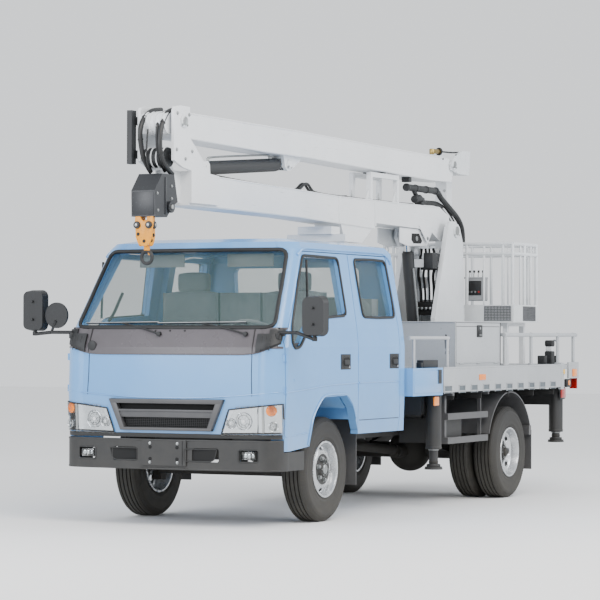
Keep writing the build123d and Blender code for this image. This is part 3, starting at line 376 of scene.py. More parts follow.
def settle(piece, name, finish, body, smooth=35):
    # place goes into the mesh, the piece takes its finish and rides on its body
    freshMode()
    piece.select_set(True)
    bpy.context.view_layer.objects.active = piece
    if piece.type != "MESH":
        bpy.ops.object.convert(target="MESH")
        piece = bpy.context.object
    for modifier in list(piece.modifiers):
        bpy.ops.object.modifier_apply(modifier=modifier.name)
    placed(piece)
    piece.data.shade_smooth()
    piece.data.set_sharp_from_angle(angle=radians(smooth))
    piece.name = name
    piece.data.name = name
    piece.data.materials.clear()
    piece.data.materials.append(finish)
    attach(piece, body)
    freshMode()
    moved(piece, shelf)
    return piece


def bevelled(piece, width, steps=2):
    cut = piece.modifiers.new("edge", "BEVEL")
    cut.width = width / 1000
    cut.segments = steps
    cut.limit_method = "ANGLE"
    cut.angle_limit = radians(40)


def blockPiece(name, low, high, finish, body, edge=3, steps=2, turn=None):
    # bevelled block between two corners, millimetres from the front axle; turn is (angle, axis)
    freshMode()
    middle = (at(*low) + at(*high)) / 2
    bpy.ops.mesh.primitive_cube_add(size=1, location=middle)
    piece = bpy.context.object
    piece.data.transform(Matrix.Diagonal([abs(a - b) / 1000 for a, b in zip(low, high)]).to_4x4())
    if edge:
        bevelled(piece, edge, steps)
    if turn:
        piece.rotation_euler["xyz".index(turn[1])] = radians(turn[0])
    return settle(piece, name, finish, body)


def roundPiece(name, start, end, radius, finish, body, edge=3, sides=32, lip=None):
    # round bar or disc between two points; lip = (share of radius, depth) sinks its end face
    freshMode()
    a, b = at(*start), at(*end)
    bpy.ops.mesh.primitive_cylinder_add(vertices=sides, radius=radius / 1000,
        depth=(b - a).length, location=(a + b) / 2)
    piece = bpy.context.object
    piece.rotation_mode = "QUATERNION"
    piece.rotation_quaternion = (b - a).to_track_quat("Z", "Y")
    if lip:
        bpy.ops.object.mode_set(mode="EDIT")
        bpy.ops.mesh.select_mode(type="FACE")
        bpy.ops.mesh.select_all(action="DESELECT")
        mesh = bmesh.from_edit_mesh(piece.data)
        for face in mesh.faces:
            face.select = face.normal.z > 0.9
        bmesh.update_edit_mesh(piece.data)
        bpy.ops.mesh.inset(thickness=radius / 1000 * (1 - lip[0]))
        bpy.ops.transform.translate(value=(b - a).normalized() * (-lip[1] / 1000))
        bpy.ops.object.mode_set(mode="OBJECT")
    if edge:
        bevelled(piece, edge)
    return settle(piece, name, finish, body)


def tubePiece(name, points, radius, finish, body, smooth=True, closed=False, sides=3):
    # pipe, hose, seal or bar along points; smooth ones are NURBS lines
    freshMode()
    curve = bpy.data.curves.new(name, "CURVE")
    curve.dimensions = "3D"
    curve.bevel_depth = radius / 1000
    curve.bevel_resolution = sides
    curve.resolution_u = 8
    curve.use_fill_caps = not closed
    spline = curve.splines.new("NURBS" if smooth else "POLY")
    spline.points.add(len(points) - 1)
    for point, place in zip(spline.points, points):
        point.co = (*at(*place), 1)
    if smooth:
        spline.order_u = 3
        spline.use_endpoint_u = not closed
    spline.use_cyclic_u = closed
    piece = bpy.data.objects.new(name, curve)
    bpy.context.scene.collection.objects.link(piece)
    return settle(piece, name, finish, body)


def outlinePiece(name, outline, span, finish, body, plane="xz", edge=2):
    # flat plate: outline in the plane's two axes, span along the third
    freshMode()
    third = ({"xz": 1, "yz": 0, "xy": 2})[plane]
    rows = []
    for u, v in outline:
        place = [u, v]
        place.insert(third, span[0])
        rows.append(at(*place))
    piece = meshPiece(name, rows, [], [list(range(len(rows)))])
    editMode(piece)
    move = [0, 0, 0]
    move[third] = (span[1] - span[0]) / 1000
    bpy.ops.mesh.extrude_region_move(TRANSFORM_OT_translate={"value": move})
    bpy.ops.mesh.select_all(action="SELECT")
    bpy.ops.mesh.normals_make_consistent(inside=False)
    bpy.ops.object.mode_set(mode="OBJECT")
    if edge:
        bevelled(piece, edge)
    return settle(piece, name, finish, body)


def joined(pieces, name):
    # like pieces of one finish become one object
    freshMode()
    body = pieces[0]["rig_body"]
    for piece in pieces:
        moved(piece, bpy.context.scene.collection)
        piece.parent = None
        piece.select_set(True)
    bpy.context.view_layer.objects.active = pieces[0]
    bpy.ops.object.join()
    whole = bpy.context.object
    whole.name = name
    whole.data.name = name
    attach(whole, body)
    freshMode()
    moved(whole, shelf)
    return whole


def repeated(piece, moves, name):
    # copies of a piece, each with its own mesh, joined to it; moves in millimetres
    if not moves:
        return piece
    made = [piece]
    for move in moves:
        copy = piece.copy()
        copy.data = piece.data.copy()
        copy.data.transform(Matrix.Translation(Vector(move) / 1000))
        shelf.objects.link(copy)
        made.append(copy)
    return joined(made, name)


def boltRow(name, places, axis, radius, finish, body, depth=8):
    # hexagon heads with a washer, standing out along the axis
    direction = Vector(axis).normalized()
    first = Vector(places[0])
    bolt = joined([roundPiece(f"{name}_washer", first, first + direction * depth * 0.3, radius * 1.25, finish, body,
        0.6, 20), roundPiece(f"{name}_head", first, first + direction * depth, radius, finish, body, 0.8, 6)], name)
    return repeated(bolt, [Vector(place) - first for place in places[1:]], name)


def touch(start, direction, names):
    # where a line from a point meets the CAD surface, in millimetres from the front axle
    ray = Vector(direction).normalized()
    best = None
    for name in names:
        hit, place, _, _ = nodes[name].ray_cast(at(*start), ray)
        if hit and (best is None or (place - at(*start)).length < (best - at(*start)).length):
            best = place
    return Vector(((best.x - axleX) * 1000, best.y * 1000, best.z * 1000)) if best else None


print("ways done")

# ---- cab: seals, gutters, handles, creases
cab = {
    "frontWindow": ((725, 1290), (760, 1330), (745, 1440), (435, 1945), (-150, 1945), (-172, 1525), (395, 1500),
                    (520, 1400), (640, 1300)),
    "rearWindow": ((-455, 1945), (-1005, 1945), (-1055, 1525), (-490, 1525)),
    "sealRadius": 11,
    "handleZ": 1180,
}


def sideOf(x, z, side, names=None, stand=0):
    # point on the cab's side at a height
    names = names or [f"front_door_{side}", f"rear_door_{side}", "cab_shell"]
    s = 1 if side == "left" else -1
    place = touch((x, s * 1300, z), (0, -s, 0), names)
    return (x, place.y + s * stand if place else s * 850, z)


def roundedLoop(points, radius, steps=4, pitch=60):
    # corners of a closed outline cut by arcs, with points at least every pitch
    loop = []
    for i, corner in enumerate(points):
        here = Vector(corner)
        before, after = Vector(points[i - 1]), Vector(points[(i + 1) % len(points)])
        reach = min(radius, (before - here).length * 0.45, (after - here).length * 0.45)
        a = here + (before - here).normalized() * reach
        b = here + (after - here).normalized() * reach
        if loop:
            last = Vector(loop[-1])
            count = int((a - last).length / pitch)
            loop += [tuple(last.lerp(a, (k + 1) / (count + 1))) for k in range(count)]
        for k in range(steps + 1):
            t = k / steps
            loop.append(tuple(a * (1 - t) ** 2 + here * 2 * t * (1 - t) + b * t ** 2))
    last, first = Vector(loop[-1]), Vector(loop[0])
    count = int((first - last).length / pitch)
    return loop + [tuple(last.lerp(first, (k + 1) / (count + 1))) for k in range(count)]


def skinPatch(name, rows, wall, finish, body, smooth=60):
    # thin panel through a grid of points
    freshMode()
    wide = len(rows[0])
    quads = [(i * wide + j, i * wide + j + 1, (i + 1) * wide + j + 1, (i + 1) * wide + j)
        for i in range(len(rows) - 1) for j in range(wide - 1)]
    piece = meshPiece(name, [at(*p) for row in rows for p in row], [], quads)
    shell = piece.modifiers.new("wall", "SOLIDIFY")
    shell.thickness = wall / 1000
    shell.offset = 0
    return settle(piece, name, finish, body, smooth)


def cabSide(side):
    s = 1 if side == "left" else -1
    frontDoor, rearDoor = [f"front_door_{side}"], [f"rear_door_{side}"]
    frontBody, rearBody = f"front_door_{side}_body", f"rear_door_{side}_body"
    for door, window, body in (("front", cab["frontWindow"], frontBody),
                               ("rear", cab["rearWindow"], rearBody)):
        names = [f"{door}_door_{side}"]
        loop = []
        for x, z in roundedLoop(window, 40):
            # the seal lies on the panel just outside the opening
            middle = Vector((sum(p[0] for p in window) / len(window), sum(p[1] for p in window) / len(window)))
            out = (Vector((x, z)) - middle).normalized() * 12
            loop.append(sideOf(x + out.x, z + out.y, side, names, 1))
        tubePiece(f"{door}_window_seal_{side}", loop, cab["sealRadius"], seal, body, **ringKind)
    # divider of the quarter light
    tubePiece(f"quarter_light_bar_{side}",
        [sideOf(452, 1500, side, [f"front_glass_{side}"], 14), sideOf(452, 1925, side, [f"front_glass_{side}"], 14)],
        9, seal, frontBody, smooth=False)
    # recessed pull handles with a lock barrel
    for door, x in (("front", -121), ("rear", -1005)):
        y = sideOf(x, cab["handleZ"], side)[1]
        body = f"{door}_door_{side}_body"
        plate = blockPiece("handle_plate", (x - 84, y - s * 4, 1124), (x + 84, y + s * 5, 1238),
            blackPlastic, body, 16, 4)
        rim = tubePiece("handle_rim", [(x + 66 * cos(k * pi / 12), y + s * 5, 1181 + 42 * sin(k * pi / 12))
            for k in range(24)], 4, blackPlastic, body, **ringKind, sides=2)
        pull = blockPiece("handle_pull", (x - 52, y + s * 2, 1160), (x + 40, y + s * 15, 1196),
            blackPlastic, body, 9, 3)
        joined([plate, rim, pull], f"{door}_handle_{side}")
        # black block in the handle's recess: painted shade
        blockPiece(f"{door}_handle_well_shade_{side}", (x - 58, y + s * 4, 1150),
            (x + 58, y + s * 6, 1212), holeShadeBlack, body, 1)
        roundPiece(f"{door}_lock_{side}", (x - 58, y, 1142), (x - 58, y + s * 8, 1142), 9, chrome, body, 1, 24)
    # belt crease, lower crease and the raised lip of the wheel arch
    belt = [sideOf(x, z, side, frontDoor)
        for x, z in ((855, 972), (700, 980), (500, 992), (204, 1013), (-60, 1018), (-335, 1023))]
    tubePiece(f"belt_crease_front_{side}", belt, 7, bluePaint, frontBody)
    belt = [sideOf(x, 1024, side, rearDoor) for x in (-362, -700, -1000, -1102)]
    tubePiece(f"belt_crease_rear_{side}", belt, 7, bluePaint, rearBody)
    # thin black line along the rear door's lower crease: painted shade in the crease
    tubePiece(f"low_crease_rear_shade_{side}",
        [sideOf(x, 742, side, rearDoor, 0.5) for x in (-372, -700, -1095)], 2.5, seal, rearBody)
    tubePiece(f"low_crease_front_{side}",
        [sideOf(x, z, side, frontDoor) for x, z in ((855, 656), (640, 668), (505, 677))], 6, bluePaint, frontBody)
    lip = [(502, 575), (478, 640), (430, 780), (345, 868), (250, 931), (120, 936), (-60, 937), (-140, 934),
        (-208, 890), (-268, 838), (-310, 750)]
    tubePiece(f"arch_lip_{side}", [sideOf(x, z + 8, side, frontDoor, 2) for x, z in lip], 9, bluePaint, frontBody)
    # pressed dent behind the front corner
    dent = [[sideOf(x, z, side, frontDoor, 0.8) for x in (746, 700, 500, 300, 263)] for z in (1046, 1058, 1068)]
    skinPatch(f"door_dent_{side}", dent, 2, bluePaint, frontBody)
    # gutter over the doors
    gutter = [sideOf(x, 2014, side, ["cab_shell"], 5) for x in (420, 300, 100, -200, -500, -800, -1080)]
    tubePiece(f"roof_gutter_{side}", [sideOf(492, 1960, side, ["cab_shell"], 3)] + gutter + [sideOf(-1120, 1930, side,
        ["cab_shell"], 4)], 10, bluePaint, "truck")


for side in sides:
    cabSide(side)
print("cab sides done")

# ---- cab front: windscreen seal, wipers, bonnet seams, lamps, grille mesh, bumper fittings
front = {
    "screen": ((-800, 1442), (800, 1442), (722, 1990), (-722, 1990)),
    "wipers": (((-82, 1385), (-420, 1462), (-740, 1458)), ((606, 1385), (240, 1462), (-120, 1458))),
    "bonnetSeams": (-668, 668),
}


onShell = ("cab_shell",)


def frontOf(y, z, stand=0, names=("cab_shell", "cowl_panel")):
    place = touch((2500, y, z), (-1, 0, 0), names)
    return (place.x + stand, y, z) if place and place.x > -200 else (500, y, z)


loop = []
for y, z in roundedLoop(front["screen"], 60):
    # the seal lies on the shell round the opening
    loop.append(frontOf(y * 1.013, z + (9 if z > 1700 else -9), 2, onShell))
tubePiece("windscreen_seal", loop, 15, seal, "truck", **ringKind)

for i, ((pivotY, pivotZ), elbow, tip) in enumerate(front["wipers"]):
    p = frontOf(pivotY, pivotZ, 12)
    e = frontOf(elbow[0], elbow[1], 22, ("cab_glass", "cab_shell"))
    t = frontOf(tip[0], tip[1], 14, ("cab_glass",))
    m = frontOf((elbow[0] + tip[0]) / 2, elbow[1] + 4, 24, ("cab_glass",))
    roundPiece(f"wiper_pivot_{i}", (p[0] - 14, p[1], p[2]), (p[0] + 12, p[1], p[2]), 17, blackPlastic, "truck", 3)
    tubePiece(f"wiper_arm_{i}", [p, ((p[0] + e[0]) / 2 + 12, (p[1] + e[1]) / 2, (p[2] + e[2]) / 2 + 14), e],
        6, blackPlastic, "truck")
    blade = [frontOf(elbow[0] + (tip[0] - elbow[0]) * k, elbow[1] + (tip[1] - elbow[1]) * k + 3, 9, ("cab_glass",))
        for k in (-0.95, -0.5, 0, 0.5, 1.0)]
    tubePiece(f"wiper_blade_{i}", blade, 6, seal, "truck")
    blade = [(x + 7, y, z + 4) for x, y, z in blade]
    tubePiece(f"wiper_spine_{i}", blade, 3.5, steel, "truck")

# pressed seams of the bonnet and the crease under it
for y in front["bonnetSeams"]:
    s = 1 if y > 0 else -1
    path = [frontOf(y + s * (6 if z < 1000 else 0), z, 0, onShell) for z in (1268, 1180, 1080, 980, 943)]
    tubePiece(f"bonnet_seam_{'left' if s > 0 else 'right'}", path, 3, seal, "truck")
edge = [frontOf(y, 925 + abs(y) ** 2 / 15500 * (1 if abs(y) > 460 else 0.55), 1, onShell)
        for y in (-884, -868, -840, -800, -700, -580, -470, -300, -100, 100, 300, 470, 580, 700, 800, 840, 868, 884)]
tubePiece("bonnet_lower_edge", edge, 5, bluePaint, "truck")
# lower part of the cowl, down to the bonnet's edge, with its rolled rim
def cowlLow(y):
    return 1239 + (0 if abs(y) < 640 else (abs(y) - 640) ** 1.7 / 130)


spread = (-880, -850, -800, -740, -640, -450, -250, 0, 250, 450, 640, 740, 800, 850, 880)
skinPatch("cowl_lower", [[frontOf(y, cowlLow(y) * (1 - t) + 1280 * t, 4, onShell) for y in spread]
    for t in (0, 0.3, 0.7, 1)], 3, cowlPlastic, "truck")
tubePiece("cowl_low_edge", [frontOf(y, cowlLow(y), 3, onShell) for y in spread], 5, cowlPlastic, "truck")
# blocks that carry the mirrors, and the panel seams beside them
for s, side in bothSides:
    rows = [[frontOf(s * y, max(z, cowlLow(y) + 6), 9, ("cowl_panel", "cab_shell"))
        for y in (702, 730, 760, 790, 815, 845, 868)] for z in (1244, 1262, 1300, 1340, 1384)]
    skinPatch(f"mirror_block_{side}", rows, 20, blackPlastic, "truck")
    for y in (742, 776, 806):
        tubePiece(f"mirror_block_rib_{side}_{y}",
            [frontOf(s * y, z, 19, ("cowl_panel", "cab_shell")) for z in (1268, 1320, 1370)],
            4, blackPlastic, "truck")
    tubePiece(f"cowl_seam_{side}", [frontOf(s * (672 if z < 1350 else 668), z, 5, ("cowl_panel", "cab_shell"))
        for z in (1246, 1280, 1340, 1400, 1425)], 3, seal, "truck")
roundPiece("reservoir_cap", frontOf(-640, 1300, 2, ("cowl_panel",)), frontOf(-640, 1300, 14, ("cowl_panel",)), 36,
    blackPlastic, "truck", 8, 40)
tubePiece("cowl_top_edge", [frontOf(y, 1426, 3, ("cowl_panel",))
    for y in (-850, -700, -450, -150, 150, 450, 700, 850)], 7, blackPlastic, "truck")
# black band between the lamps and the bumper: painted shade standing in for the shadow gap under the body
skinPatch("shadow_gap_band", [[frontOf(y, z, 2, onShell)
    for y in (-886, -874, -850, -800, -740, -600, -300, 0, 300, 600, 740, 800, 850, 874, 886)]
    for z in (640, 655, 671)], 4, blackPaint, "truck")
for y in (-120, 0, 120):
    roundPiece(f"washer_nozzle_{y}", frontOf(y, 1408, -4), frontOf(y, 1408, 7), 6, blackPlastic, "truck", 2, 16)

lampSet = {
    "inner": ((440, 676), (500, 846)),
    "outer": ((884, 684), (886, 888)),
    "split": 764,
    "bowls": ((612, 765, 62), (514, 748, 36), (832, 729, 34)),
    "turn": (822, 842, 40),
}


def lampRows(first, last, count, stand, low=0.0, high=1.0):
    # grid over the lamp between two shares of its width
    rows = []
    for i in range(count + 1):
        u = first + (last - first) * i / count
        row = []
        for j in range(7):
            v = low + (high - low) * j / 6
            inner = Vector(lampSet["inner"][0]).lerp(Vector(lampSet["inner"][1]), v)
            outer = Vector(lampSet["outer"][0]).lerp(Vector(lampSet["outer"][1]), v)
            y, z = inner.lerp(outer, u)
            row.append(frontOf(s * y, z, stand, onShell))
        rows.append(row)
    return rows


for s, side in bothSides:
    skinPatch(f"lamp_reflector_{side}", lampRows(0.02, 0.98, 26, 3), 3, chrome, "truck", 12)
    edge = lampRows(0, 1, 26, 9)
    loop = [row[0] for row in edge] + edge[-1][1:-1] + [row[-1] for row in edge[::-1]] + edge[0][-2:0:-1]
    tubePiece(f"headlamp_bezel_{side}", loop, 5, blackPlastic, "truck", **ringKind)
    skinPatch(f"lamp_bar_{side}", [[frontOf(s * y, z, 8, onShell) for z in (684, 750, 820, 880)]
        for y in (756, 764, 772)], 8, steel, "truck")
    for i, (y, z, r) in enumerate(lampSet["bowls"]):
        c = Vector(frontOf(s * y, z, 4, onShell))
        lean = Vector((1, s * (0.5 if y > 764 else 0.14), 0)).normalized()
        across = upward.cross(lean)
        for k, (share, depth) in enumerate(((1.0, 8), (0.72, 3), (0.45, -1))):
            ring = [c + lean * depth + (across * cos(t * pi / 16) + upward * sin(t * pi / 16)) * r * share
                for t in range(32)]
            tubePiece(f"bowl_ring_{side}_{i}_{k}", ring, 2.2, steel if k else chrome, "truck", **ringKind, sides=2)
        for t in range(8):
            spoke = across * cos(t * pi / 4 + 0.3) + upward * sin(t * pi / 4 + 0.3)
            tubePiece(f"bowl_flute_{side}_{i}_{t}", [c + lean * 1 + spoke * r * 0.4, c + lean * 6 + spoke * r * 0.95],
                1.6, steel, "truck", smooth=False, sides=1)
        roundPiece(f"bulb_{side}_{i}", c - lean * 6, c + lean * 7, r * 0.24, whitePaint, "truck", 4, 24)
    y, z, r = lampSet["turn"]
    c = Vector(frontOf(s * y, z, 4, onShell))
    lean = Vector((1, s * 0.55, 0)).normalized()
    across = upward.cross(lean)
    roundPiece(f"turn_lamp_{side}", c - lean * 8, c + lean * 6, r, orangeLens, "truck", 6, 40)
    for k in range(3):
        ring = [c + lean * 7 + (across * cos(t * pi / 16) + upward * sin(t * pi / 16)) * r * (0.3 + 0.25 * k)
            for t in range(32)]
        tubePiece(f"turn_lamp_ring_{side}_{k}", ring, 1.6, orangeLens, "truck", **ringKind, sides=1)

# grille: tapered frame with one wide slat and a mesh behind
def grilleSpan(z, inset):
    share = (z - 690) / 227
    return 372 + 98 * share - inset


def grilleBar(name, z0, z1, inset, x0, x1, finish):
    # bar across the grille whose ends follow the taper
    a, b = grilleSpan(z0, inset), grilleSpan(z1, inset)
    return outlinePiece(name, ((-a, z0), (a, z0), (b, z1), (-b, z1)), (x0, x1), finish, "truck", plane="yz", edge=4)


made = [grilleBar("grille_top", 884, 916.5, 0.5, 975, 1021, guardPaint),
    grilleBar("grille_foot", 690.5, 712, 0.5, 975, 1021, guardPaint),
    grilleBar("grille_slat", 784, 841, 30, 972, 1010, guardPaint),
    grilleBar("grille_slat_lip", 826, 842, 30, 990, 1019, guardPaint)]
for s in (1, -1):
    outline = [(s * grilleSpan(690.5, 0.5), 690.5), (s * grilleSpan(916.5, 0.5), 916.5),
        (s * grilleSpan(916.5, 54), 916.5), (s * grilleSpan(690.5, 40), 690.5)]
    made.append(outlinePiece(f"grille_side_{s + 1}", outline, (975, 1020), guardPaint, "truck", plane="yz", edge=4))
# black sheet behind the grille mesh: painted shade
made.append(grilleBar("grille_back_shade", 700, 908, 4, 966, 970, holeShadeBlack))
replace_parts(joined(made[:-1], "grille_frame"), "grille")
for i in range(48):
    y = -387 + i * 16.4
    if abs(y) > grilleSpan(740, 42):
        continue
    blockPiece(f"grille_wire_{i}", (976, y - 1.6, 712), (979, y + 1.6, 784), blackPlastic, "truck", 0)
for i in range(6):
    z = 716 + i * 12
    a = grilleSpan(z, 42)
    blockPiece(f"grille_cross_{i}", (979, -a, z - 1.6), (982, a, z + 1.6), blackPlastic, "truck", 0)

# bumper: tapered slots with a black sheet inside as painted shade, square fog lamps, rolled edges, bolts on the bare
# plate bracket and black discs in its holes as painted shade
def bumperFront(y, z, stand=0):
    place = touch((2500, y, z), (-1, 0, 0), ["front_bumper"])
    return (place.x + stand, y, z)


slots = {
    "left": ((168, 562), (421, 562), (404, 500), (392, 484), (372, 476), (168, 476)),
    "right": ((-224, 562), (-458, 562), (-441, 500), (-429, 484), (-409, 476), (-224, 476)),
}
for side, outline in slots.items():
    base = min(bumperFront(y, 590)[0] for y, z in outline)
    outlinePiece(f"bumper_slot_shade_{side}", outline, (base - 12, base + 1.5), holeShadeBlack, "truck", plane="yz", edge=0)
    loop = [(bumperFront(y, 590)[0], y, z) for y, z in roundedLoop(outline, 10, 3)]
    tubePiece(f"bumper_slot_rim_{side}", loop, 4, blackPlastic, "truck", **ringKind, sides=2)
for s, side in bothSides:
    x = touch((2500, s * 560, 520), (-1, 0, 0), ["front_bumper"]).x
    blockPiece(f"fog_lamp_body_{side}", (x - 70, s * 606, 490), (x - 30, s * 716, 552), blackPlastic, "truck", 6)
    blockPiece(f"fog_lamp_reflector_{side}", (x - 32, s * 612, 496), (x - 24, s * 710, 546), castIron, "truck", 10, 3)
    for k, y in enumerate((634, 662, 690)):
        roundPiece(f"fog_lamp_bowl_{side}_{k}", (x - 26, s * y, 521), (x - 19, s * y, 521),
            16, chrome, "truck", 4, 32)
    blockPiece(f"fog_lamp_glass_{side}", (x - 18, s * 610, 494), (x - 13, s * 712, 548), clearLens, "truck", 5)
    loop = [(bumperFront(s * 750, z, -4)[0] + (750 - abs(y)) * 0.13, s * abs(y), z)
        for y, z in roundedLoop(((585, 476), (735, 476), (735, 564), (585, 564)), 16)]
    tubePiece(f"fog_bezel_{side}", loop, 6, blackPlastic, "truck", **ringKind)
boltRow("plate_bolts", [(1039, y, z) for y in (-112.5, 112.5) for z in (462.5, 599.5)],
    (1, 0, 0), 9, steel, "truck", 7)
# black discs over the bracket's holes: painted shade
boltRow("plate_hole_shade", [(1039, y, z) for y in (-110, 110) for z in (488, 572)], (1, 0, 0), 11, holeShadeBlack, "truck", 3)
for name, z, r in (("top", 622, 9), ("low", 418, 8)):
    roll = [(bumperFront(y, z)[0] - r + 2, y, z)
        for y in (-870, -850, -820, -770, -700, -550, -350, -190)] + [(1032, y, z) for y in (-170, 170)]
    roll += [(bumperFront(y, z)[0] - r + 2, y, z) for y in (190, 350, 550, 700, 770, 820, 850, 870)]
    tubePiece(f"bumper_{name}_roll", [(560, -878, z)] + roll + [(560, 878, z)], r, blackPaint, "truck")
tubePiece("plate_panel_seam", [(1040, 153, 446), (1041, 153, 530), (1040, 153, 618)], 2.5,
    seal, "truck", smooth=False)

# mirror glass, its bezel and the fittings of the arms
for s, side, middle, height in ((1, "left", 1512, 286), (-1, "right", 1556, 304)):
    foot = middle - height / 2 - 22
    low, high = middle - height / 2 + 16, middle + height / 2 - 16
    blockPiece(f"mirror_glass_{side}", (888, s * 1150 - 74, low), (896, s * 1150 + 74, high), chrome, "truck", 4)
    loop = [(891, y, z) for y, z in roundedLoop(((s * 1150 - 78, low - 4), (s * 1150 + 78, low - 4),
        (s * 1150 + 78, high + 4), (s * 1150 - 78, high + 4)), 24)]
    tubePiece(f"mirror_bezel_{side}", loop, 5, blackPlastic, "truck", **ringKind, sides=2)
    roundPiece(f"mirror_arm_foot_{side}", (905, s * 850, 1350), (905, s * 850, 1392), 20, blackPlastic, "truck", 5)
    roundPiece(f"mirror_clamp_{side}", (930, s * 1150, foot - 12), (930, s * 1150, foot + 20), 19,
        blackPlastic, "truck", 5)
    for z in (low + 70, high - 70):
        roundPiece(f"mirror_back_bolt_{side}_{round(z)}", (985, s * 1150, z), (960, s * 1150, z), 9,
            blackPlastic, "truck", 2, 20)
print("cab front done")

# ---- cab inside: seats as padded pieces, sun visors, grab handle
seatsY = (430, -430)


def cushionPiece(name, low, high, crown):
    # crowned pad over its block: a subdivided box whose faces swell towards their middle
    freshMode()
    middle = (at(*low) + at(*high)) / 2
    bpy.ops.mesh.primitive_cube_add(size=1, location=middle)
    piece = bpy.context.object
    piece.scale = [abs(a - b) / 1000 for a, b in zip(low, high)]
    bpy.ops.object.transform_apply(location=False, rotation=False, scale=True)
    bpy.ops.object.mode_set(mode="EDIT")
    bpy.ops.mesh.select_all(action="SELECT")
    bpy.ops.mesh.subdivide(number_cuts=7)
    bpy.ops.object.mode_set(mode="OBJECT")
    half = [abs(a - b) / 2000 for a, b in zip(low, high)]
    for v in piece.data.vertices:
        u = [c / h for c, h in zip(v.co, half)]
        swell = [(1 - u[1] ** 2) * (1 - u[2] ** 2), (1 - u[0] ** 2) * (1 - u[2] ** 2),
            (1 - u[0] ** 2) * (1 - u[1] ** 2)]
        for k in range(3):
            if abs(u[k]) > 0.99:
                v.co[k] += (1 if u[k] > 0 else -1) * crown / 1000 * swell[k]
            corner = min(1, abs(u[(k + 1) % 3])) ** 8 + min(1, abs(u[(k + 2) % 3])) ** 8
            v.co[k] *= 1 - 0.02 * corner
    piece.modifiers.new("smooth", "SUBSURF").levels = 1
    piece.modifiers["smooth"].render_levels = 1
    made = settle(piece, name, trimCloth, "truck", 60)
    return made


for side, y in zip(sides, seatsY):
    cushionPiece(f"front_cushion_{side}", (-150, y - 236, 1040), (335, y + 236, 1130), 12)
    cushionPiece(f"front_backrest_{side}", (-265, y - 230, 1110), (-140, y + 230, 1705), 12)
    cushionPiece(f"head_rest_{side}", (-262, y - 120, 1712), (-165, y + 120, 1850), 10)
cushionPiece("rear_bench_cushion", (-930, -735, 1000), (-512, 735, 1122), 12)
cushionPiece("rear_bench_backrest", (-1045, -735, 1110), (-918, 735, 1668), 12)
for s, side in bothSides:
    blockPiece(f"sun_visor_{side}", (395, s * 370 - 190, 1880), (410, s * 370 + 190, 1975), trimCloth, "truck", 6)
tubePiece("grab_handle", [(640, -690, 1480), (600, -676, 1520), (540, -650, 1650), (520, -640, 1690)],
    12, blackPlastic, "truck")
print("cab inside done")

# ---- wheels: tread blocks, shoulder ribs, nuts, hub caps
wheelSet = {"front": 700, "rear": (611, 837), "nuts": 6, "nutCircle": 82, "holes": 8, "sipes": 96,
            "barFaces": ((2, 3, 7, 6), (0, 2, 6, 4), (1, 5, 7, 3), (0, 1, 3, 2), (4, 6, 7, 5)),
            "blockFaces": ((0, 1, 3, 2), (4, 6, 7, 5), (0, 4, 5, 1), (2, 3, 7, 6), (0, 2, 6, 4), (1, 5, 7, 3))}


def spunPiece(name, section, x, finish, body, steps=96, smooth=35):
    # section of (radius, y) pairs turned about a wheel's axis at x
    freshMode()
    piece = meshPiece(name, [at(x, y, wheelZ + r) for r, y in section],
        [(i, i + 1) for i in range(len(section) - 1)], [])
    editMode(piece)
    bpy.ops.mesh.spin(steps=steps, angle=2 * pi, center=at(x, 0, wheelZ), axis=(0, 1, 0))
    closedUp(0.0002)
    return settle(piece, name, finish, body, smooth)


def tyrePiece(name, x, y, body):
    # carcass with four grooves round the tread
    half = [(207, -76), (213, -86), (222, -91), (232, -94), (236, -97), (244, -98), (250, -97), (275, -101),
        (300, -102.5), (326, -101), (330, -102), (338, -100), (350, -95.5), (364, -88), (375, -79),
        (381, -74), (384.5, -68)]
    tread = []
    for groove in (-48, -17):
        tread += [(386 if groove < -30 else 387.2, groove - 5), (373, groove - 3), (373, groove + 3),
            (386.5 if groove < -30 else 387.4, groove + 5)]
    half += tread
    section = half + [(387.4, 0)] + [(r, -w) for r, w in half[::-1]]
    carcass = spunPiece(name, [(r, y + w) for r, w in section], x, rubber, body)
    # thin raised bars over the shoulders and short blocks along the groove edges
    verts, faces = [], []
    count = wheelSet["sipes"]
    for side in (-1, 1):
        for k in range(count):
            for (r0, w0, r1, w1, span) in ((385.6, 66, 375.6, 79.5, 0.42), (375.8, 79.5, 352, 95.2, 0.3)):
                middle = 2 * pi * k / count
                base = len(verts)
                for r, w in ((r0, w0), (r1, w1)):
                    for out in (-2, 1.6):
                        for along in (-span, span):
                            angle = middle + along * 2 * pi / count
                            verts.append(at(x + (r + out * 0.9) * cos(angle), y + side * (w + out * 0.5),
                                wheelZ + (r + out * 0.9) * sin(angle)))
                faces += [[base + n for n in quad] for quad in wheelSet["barFaces"]]
        for row, (w, step) in enumerate(((40.5, 0.0), (24.5, 0.5), (9.5, 0.0))):
            for k in range(count):
                angle = 2 * pi * (k + step) / count
                base = len(verts)
                for r in (374, 386.6):
                    for across in (-3.4, 3.4):
                        for along in (-0.3, 0.3):
                            turn = angle + along * 2 * pi / count
                            verts.append(at(x + r * cos(turn), y + side * (w + across), wheelZ + r * sin(turn)))
                faces += [[base + n for n in quad] for quad in wheelSet["blockFaces"]]
    bars = settle(meshPiece(name, verts, [], faces), name + "_bars", rubber, body)
    return joined([carcass, bars], name)


